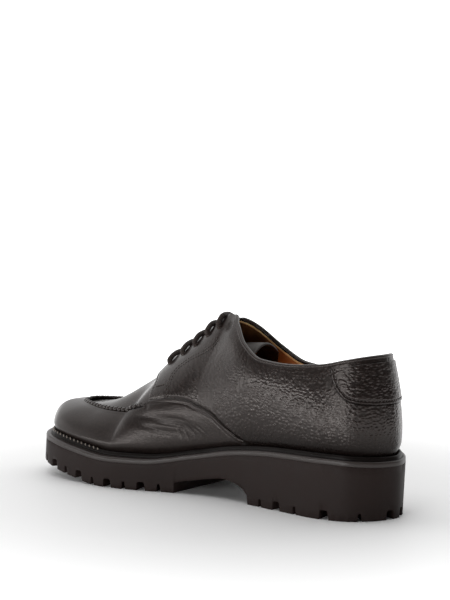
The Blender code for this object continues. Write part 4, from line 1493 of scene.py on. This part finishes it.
class SHOE_OT_stitches(bpy.types.Operator):
    """Rows of sewing thread on the upper and on the welt's bead"""

    bl_idname = "shoe.make_stitches"
    bl_label = "Stitches"

    def execute(self, context):
        thread = plain_material("polyester_thread_bonded", colours().thread, 0.3, 0.05, 0.45)
        pale = plain_material("linen_thread_welt", colours().welt_thread, 0.3, 0.05, 0.55)
        pitch, width = mm_of(sizes().stitch_pitch), mm_of(sizes().stitch_width)
        vamp, quarter = mm_of(sizes().vamp_lift), mm_of(sizes().quarter_lift)
        tab = mm_of(sizes().tab_lift)
        bm = bmesh.new()
        for side in (-1, 1):
            section = np.linspace(6.2, 10.45, 300)
            edge, ups = row_on(mirrored(section, side), vamp_back(section), vamp - 0.35)
            line, ups = moved_in(edge, ups, 2.9 * -side)
            add_stitches(bm, line, ups, pitch, pitch * 0.7, width)
            section, share = edge_curve(QUARTER_FRONT_ROWS[FACING_FOOT + 1 :], 200)
            edge, ups = row_on(mirrored(section, side), share, quarter - 0.25)
            line, ups = moved_in(edge, ups, 2.2 * -side)
            add_stitches(bm, line, ups, pitch, pitch * 0.7, width)
            section, share = np.array(FACING_STITCH_ROWS).T
            line, ups = row_on(mirrored(section, side), share, quarter + 0.05)
            for shift in (0.0, 2.2):
                moved, turned = moved_in(line, ups, shift * -side)
                add_stitches(bm, moved, turned, pitch, pitch * 0.7, width)
            section, share = np.array(BAR_TACK_ROWS).T
            line, ups = row_on(mirrored(section, side), share, quarter + 0.05)
            add_stitches(bm, line, ups, 0.9, 1.8, width, slant=1.3)
            section = np.linspace(3.75, 4.7, 60)
            line, ups = row_on(mirrored(section, side), 0.905 + 0.012 * (section - 3.75), quarter + 0.05)
            add_stitches(bm, line, ups, pitch, pitch * 0.75, width)
        section, share = tab_edge(200)
        edge, ups = row_on(section, share, tab - 0.25)
        line, ups = moved_in(edge, ups, -2.3)
        add_stitches(bm, line, ups, pitch, pitch * 0.7, width)
        add_piece(bm, "stitches_upper", thread, "upper_leather")
        bm = bmesh.new()
        places = np.linspace(*WELT_STITCH_SECTIONS, 900)
        line = inset(places, RING["margin"](places) - 2.95, BEAD_RISE - 0.3)
        ups = np.concatenate([outward(places) * 0.8, np.full((900, 1), 1.0)], -1)
        add_stitches(bm, line, ups, mm_of(sizes().welt_pitch), 3.2, 1.1, slant=0.7)
        add_piece(bm, "stitches_welt", pale, "welt")
        return {"FINISHED"}


# Stage

CAMERA_PLACE = (-0.8965, -0.7056, 0.2396)  # the photo's point of view, metres
CAMERA_AHEAD = (0.784, 0.614, -0.090)
CAMERA_RIGHT = (0.617, -0.787, 0.0)
CAMERA_ROLL = 0.3  # degrees
CAMERA_LENS = 95.88
BRIGHT_SIDE = (0.58, 0.52, 0.62)  # the studio's white side, behind the shoe and above it

# Lamps: name, place, the point it shines at, its width and height in metres, and its watts
LAMP_ROWS = (
    ("overhead_softbox", (-0.25, 0.1, 1.5), (0.0, 0.0, 0.05), (1.2, 1.2), 4.5),
    ("front_softbox", (-0.65, 1.32, 0.38), (0.0, 0.05, 0.05), (1.0, 0.5), 1.6),
    ("toe_softbox", (0.6, 1.35, 0.16), (0.0, 0.1, 0.05), (0.5, 0.3), 0.6),
    ("heel_softbox", (-1.3, -0.15, 0.42), (0.0, -0.08, 0.08), (0.5, 0.3), 2.5),
    ("side_strip", (-1.25, 0.12, 0.035), (0.0, -0.03, 0.07), (2.2, 0.06), 6.5),
)


def area_light(name, place, target, size, power):
    lamp = bpy.data.lights.new(name, "AREA")
    lamp.shape = "RECTANGLE"
    lamp.size, lamp.size_y = size
    lamp.energy = power
    made = bpy.data.objects.new(name, lamp)
    made.location = place
    made.rotation_euler = (Vector(target) - Vector(place)).to_track_quat("-Z", "Y").to_euler()
    bpy.context.scene.collection.objects.link(made)


class SHOE_OT_stage(bpy.types.Operator):
    """Pale floor, soft studio light and the camera at the photo's angle"""

    bl_idname = "shoe.set_stage"
    bl_label = "Stage"

    def execute(self, context):
        scene = context.scene
        bm = bmesh.new()
        bmesh.ops.create_grid(bm, x_segments=1, y_segments=1, size=12.0)
        mesh = bpy.data.meshes.new("studio_floor")
        bm.to_mesh(mesh)
        bm.free()
        floor = bpy.data.objects.new("studio_floor", mesh)
        made, tree, shader = new_material("floor_matt_with_painted_glow", colours().floor, Roughness=0.6)
        # Painted light: the floor glows, from nothing within 0.12 m of the middle up to 0.8 beyond 0.55 m.
        place = add_node(tree, "ShaderNodeTexCoord")
        away = add_node(tree, "ShaderNodeVectorMath", {0: place.outputs["Object"]}, operation="LENGTH")
        glow = ranged(
            tree, away.outputs["Value"], interpolation_type="SMOOTHSTEP",
            From_Min=0.12, From_Max=0.55, To_Min=0.0, To_Max=0.8,
        )
        shader.inputs["Emission Color"].default_value = (1.0, 1.0, 1.0, 1.0)
        link_shader(tree, shader, Emission_Strength=glow)
        mesh.materials.append(made)
        scene.collection.objects.link(floor)
        world = bpy.data.worlds.new("studio")
        world.use_nodes = True
        sky = world.node_tree.nodes["Background"]
        sky.inputs["Color"].default_value = (1.0, 1.0, 1.0, 1.0)
        way = add_node(world.node_tree, "ShaderNodeTexCoord")
        seen = {0: way.outputs["Generated"]}
        lit = add_node(world.node_tree, "ShaderNodeVectorMath", seen, operation="DOT_PRODUCT")
        lit.inputs[1].default_value = Vector(BRIGHT_SIDE).normalized()
        glow = ranged(
            world.node_tree, lit.outputs["Value"], interpolation_type="SMOOTHSTEP",
            From_Min=0.1, From_Max=0.7, To_Min=0.03, To_Max=1.14,
        )
        link_shader(world.node_tree, sky, Strength=glow)
        scene.world = world
        for lamp in LAMP_ROWS:
            area_light(*lamp)
        scene.view_settings.view_transform = "Standard"
        ahead = Vector(CAMERA_AHEAD).normalized()
        right = Vector(CAMERA_RIGHT)
        right = (right - ahead * right.dot(ahead)).normalized()
        up = right.cross(ahead)
        roll = math.radians(CAMERA_ROLL)
        right = right * math.cos(roll) + up * math.sin(roll)
        up = right.cross(ahead)
        lens = bpy.data.cameras.new("photo_camera")
        lens.lens = CAMERA_LENS
        lens.clip_start = 0.01
        camera = bpy.data.objects.new("photo_camera", lens)
        turn = Matrix((right, up, -ahead)).transposed()
        camera.matrix_world = Matrix.Translation(Vector(CAMERA_PLACE)) @ turn.to_4x4()
        scene.collection.objects.link(camera)
        scene.camera = camera
        return {"FINISHED"}


PIECES = (
    SHOE_OT_outsole, SHOE_OT_welt, SHOE_OT_insole, SHOE_OT_upper, SHOE_OT_vamp, SHOE_OT_quarters,
    SHOE_OT_heel_tab, SHOE_OT_binding, SHOE_OT_apron_seam, SHOE_OT_tongue, SHOE_OT_lace, SHOE_OT_stitches,
    SHOE_OT_stage,
)


class SHOE_PT_panel(bpy.types.Panel):
    """Lists the shoe's pieces, sizes and colours"""

    bl_idname = "SHOE_PT_panel"
    bl_label = "Derby shoe"
    bl_space_type = "VIEW_3D"
    bl_region_type = "UI"
    bl_category = "Derby shoe"

    def draw(self, context):
        layout = self.layout
        for piece in PIECES:
            layout.operator(piece.bl_idname)
        for group in (context.scene.shoe_sizes, context.scene.shoe_colours):
            for name in group.bl_rna.properties.keys():
                if name not in ("rna_type", "name"):
                    layout.prop(group, name)


CLASSES = (ShoeSizes, ShoeColours, *PIECES, SHOE_PT_panel)


def register():
    for made in CLASSES:
        bpy.utils.register_class(made)
    bpy.types.Scene.shoe_sizes = PointerProperty(type=ShoeSizes)
    bpy.types.Scene.shoe_colours = PointerProperty(type=ShoeColours)


def unregister():
    del bpy.types.Scene.shoe_colours
    del bpy.types.Scene.shoe_sizes
    for made in reversed(CLASSES):
        bpy.utils.unregister_class(made)


def main():
    register()
    for piece in PIECES:
        group, name = piece.bl_idname.split(".")
        getattr(getattr(bpy.ops, group), name)()


if __name__ == "__main__":
    main()
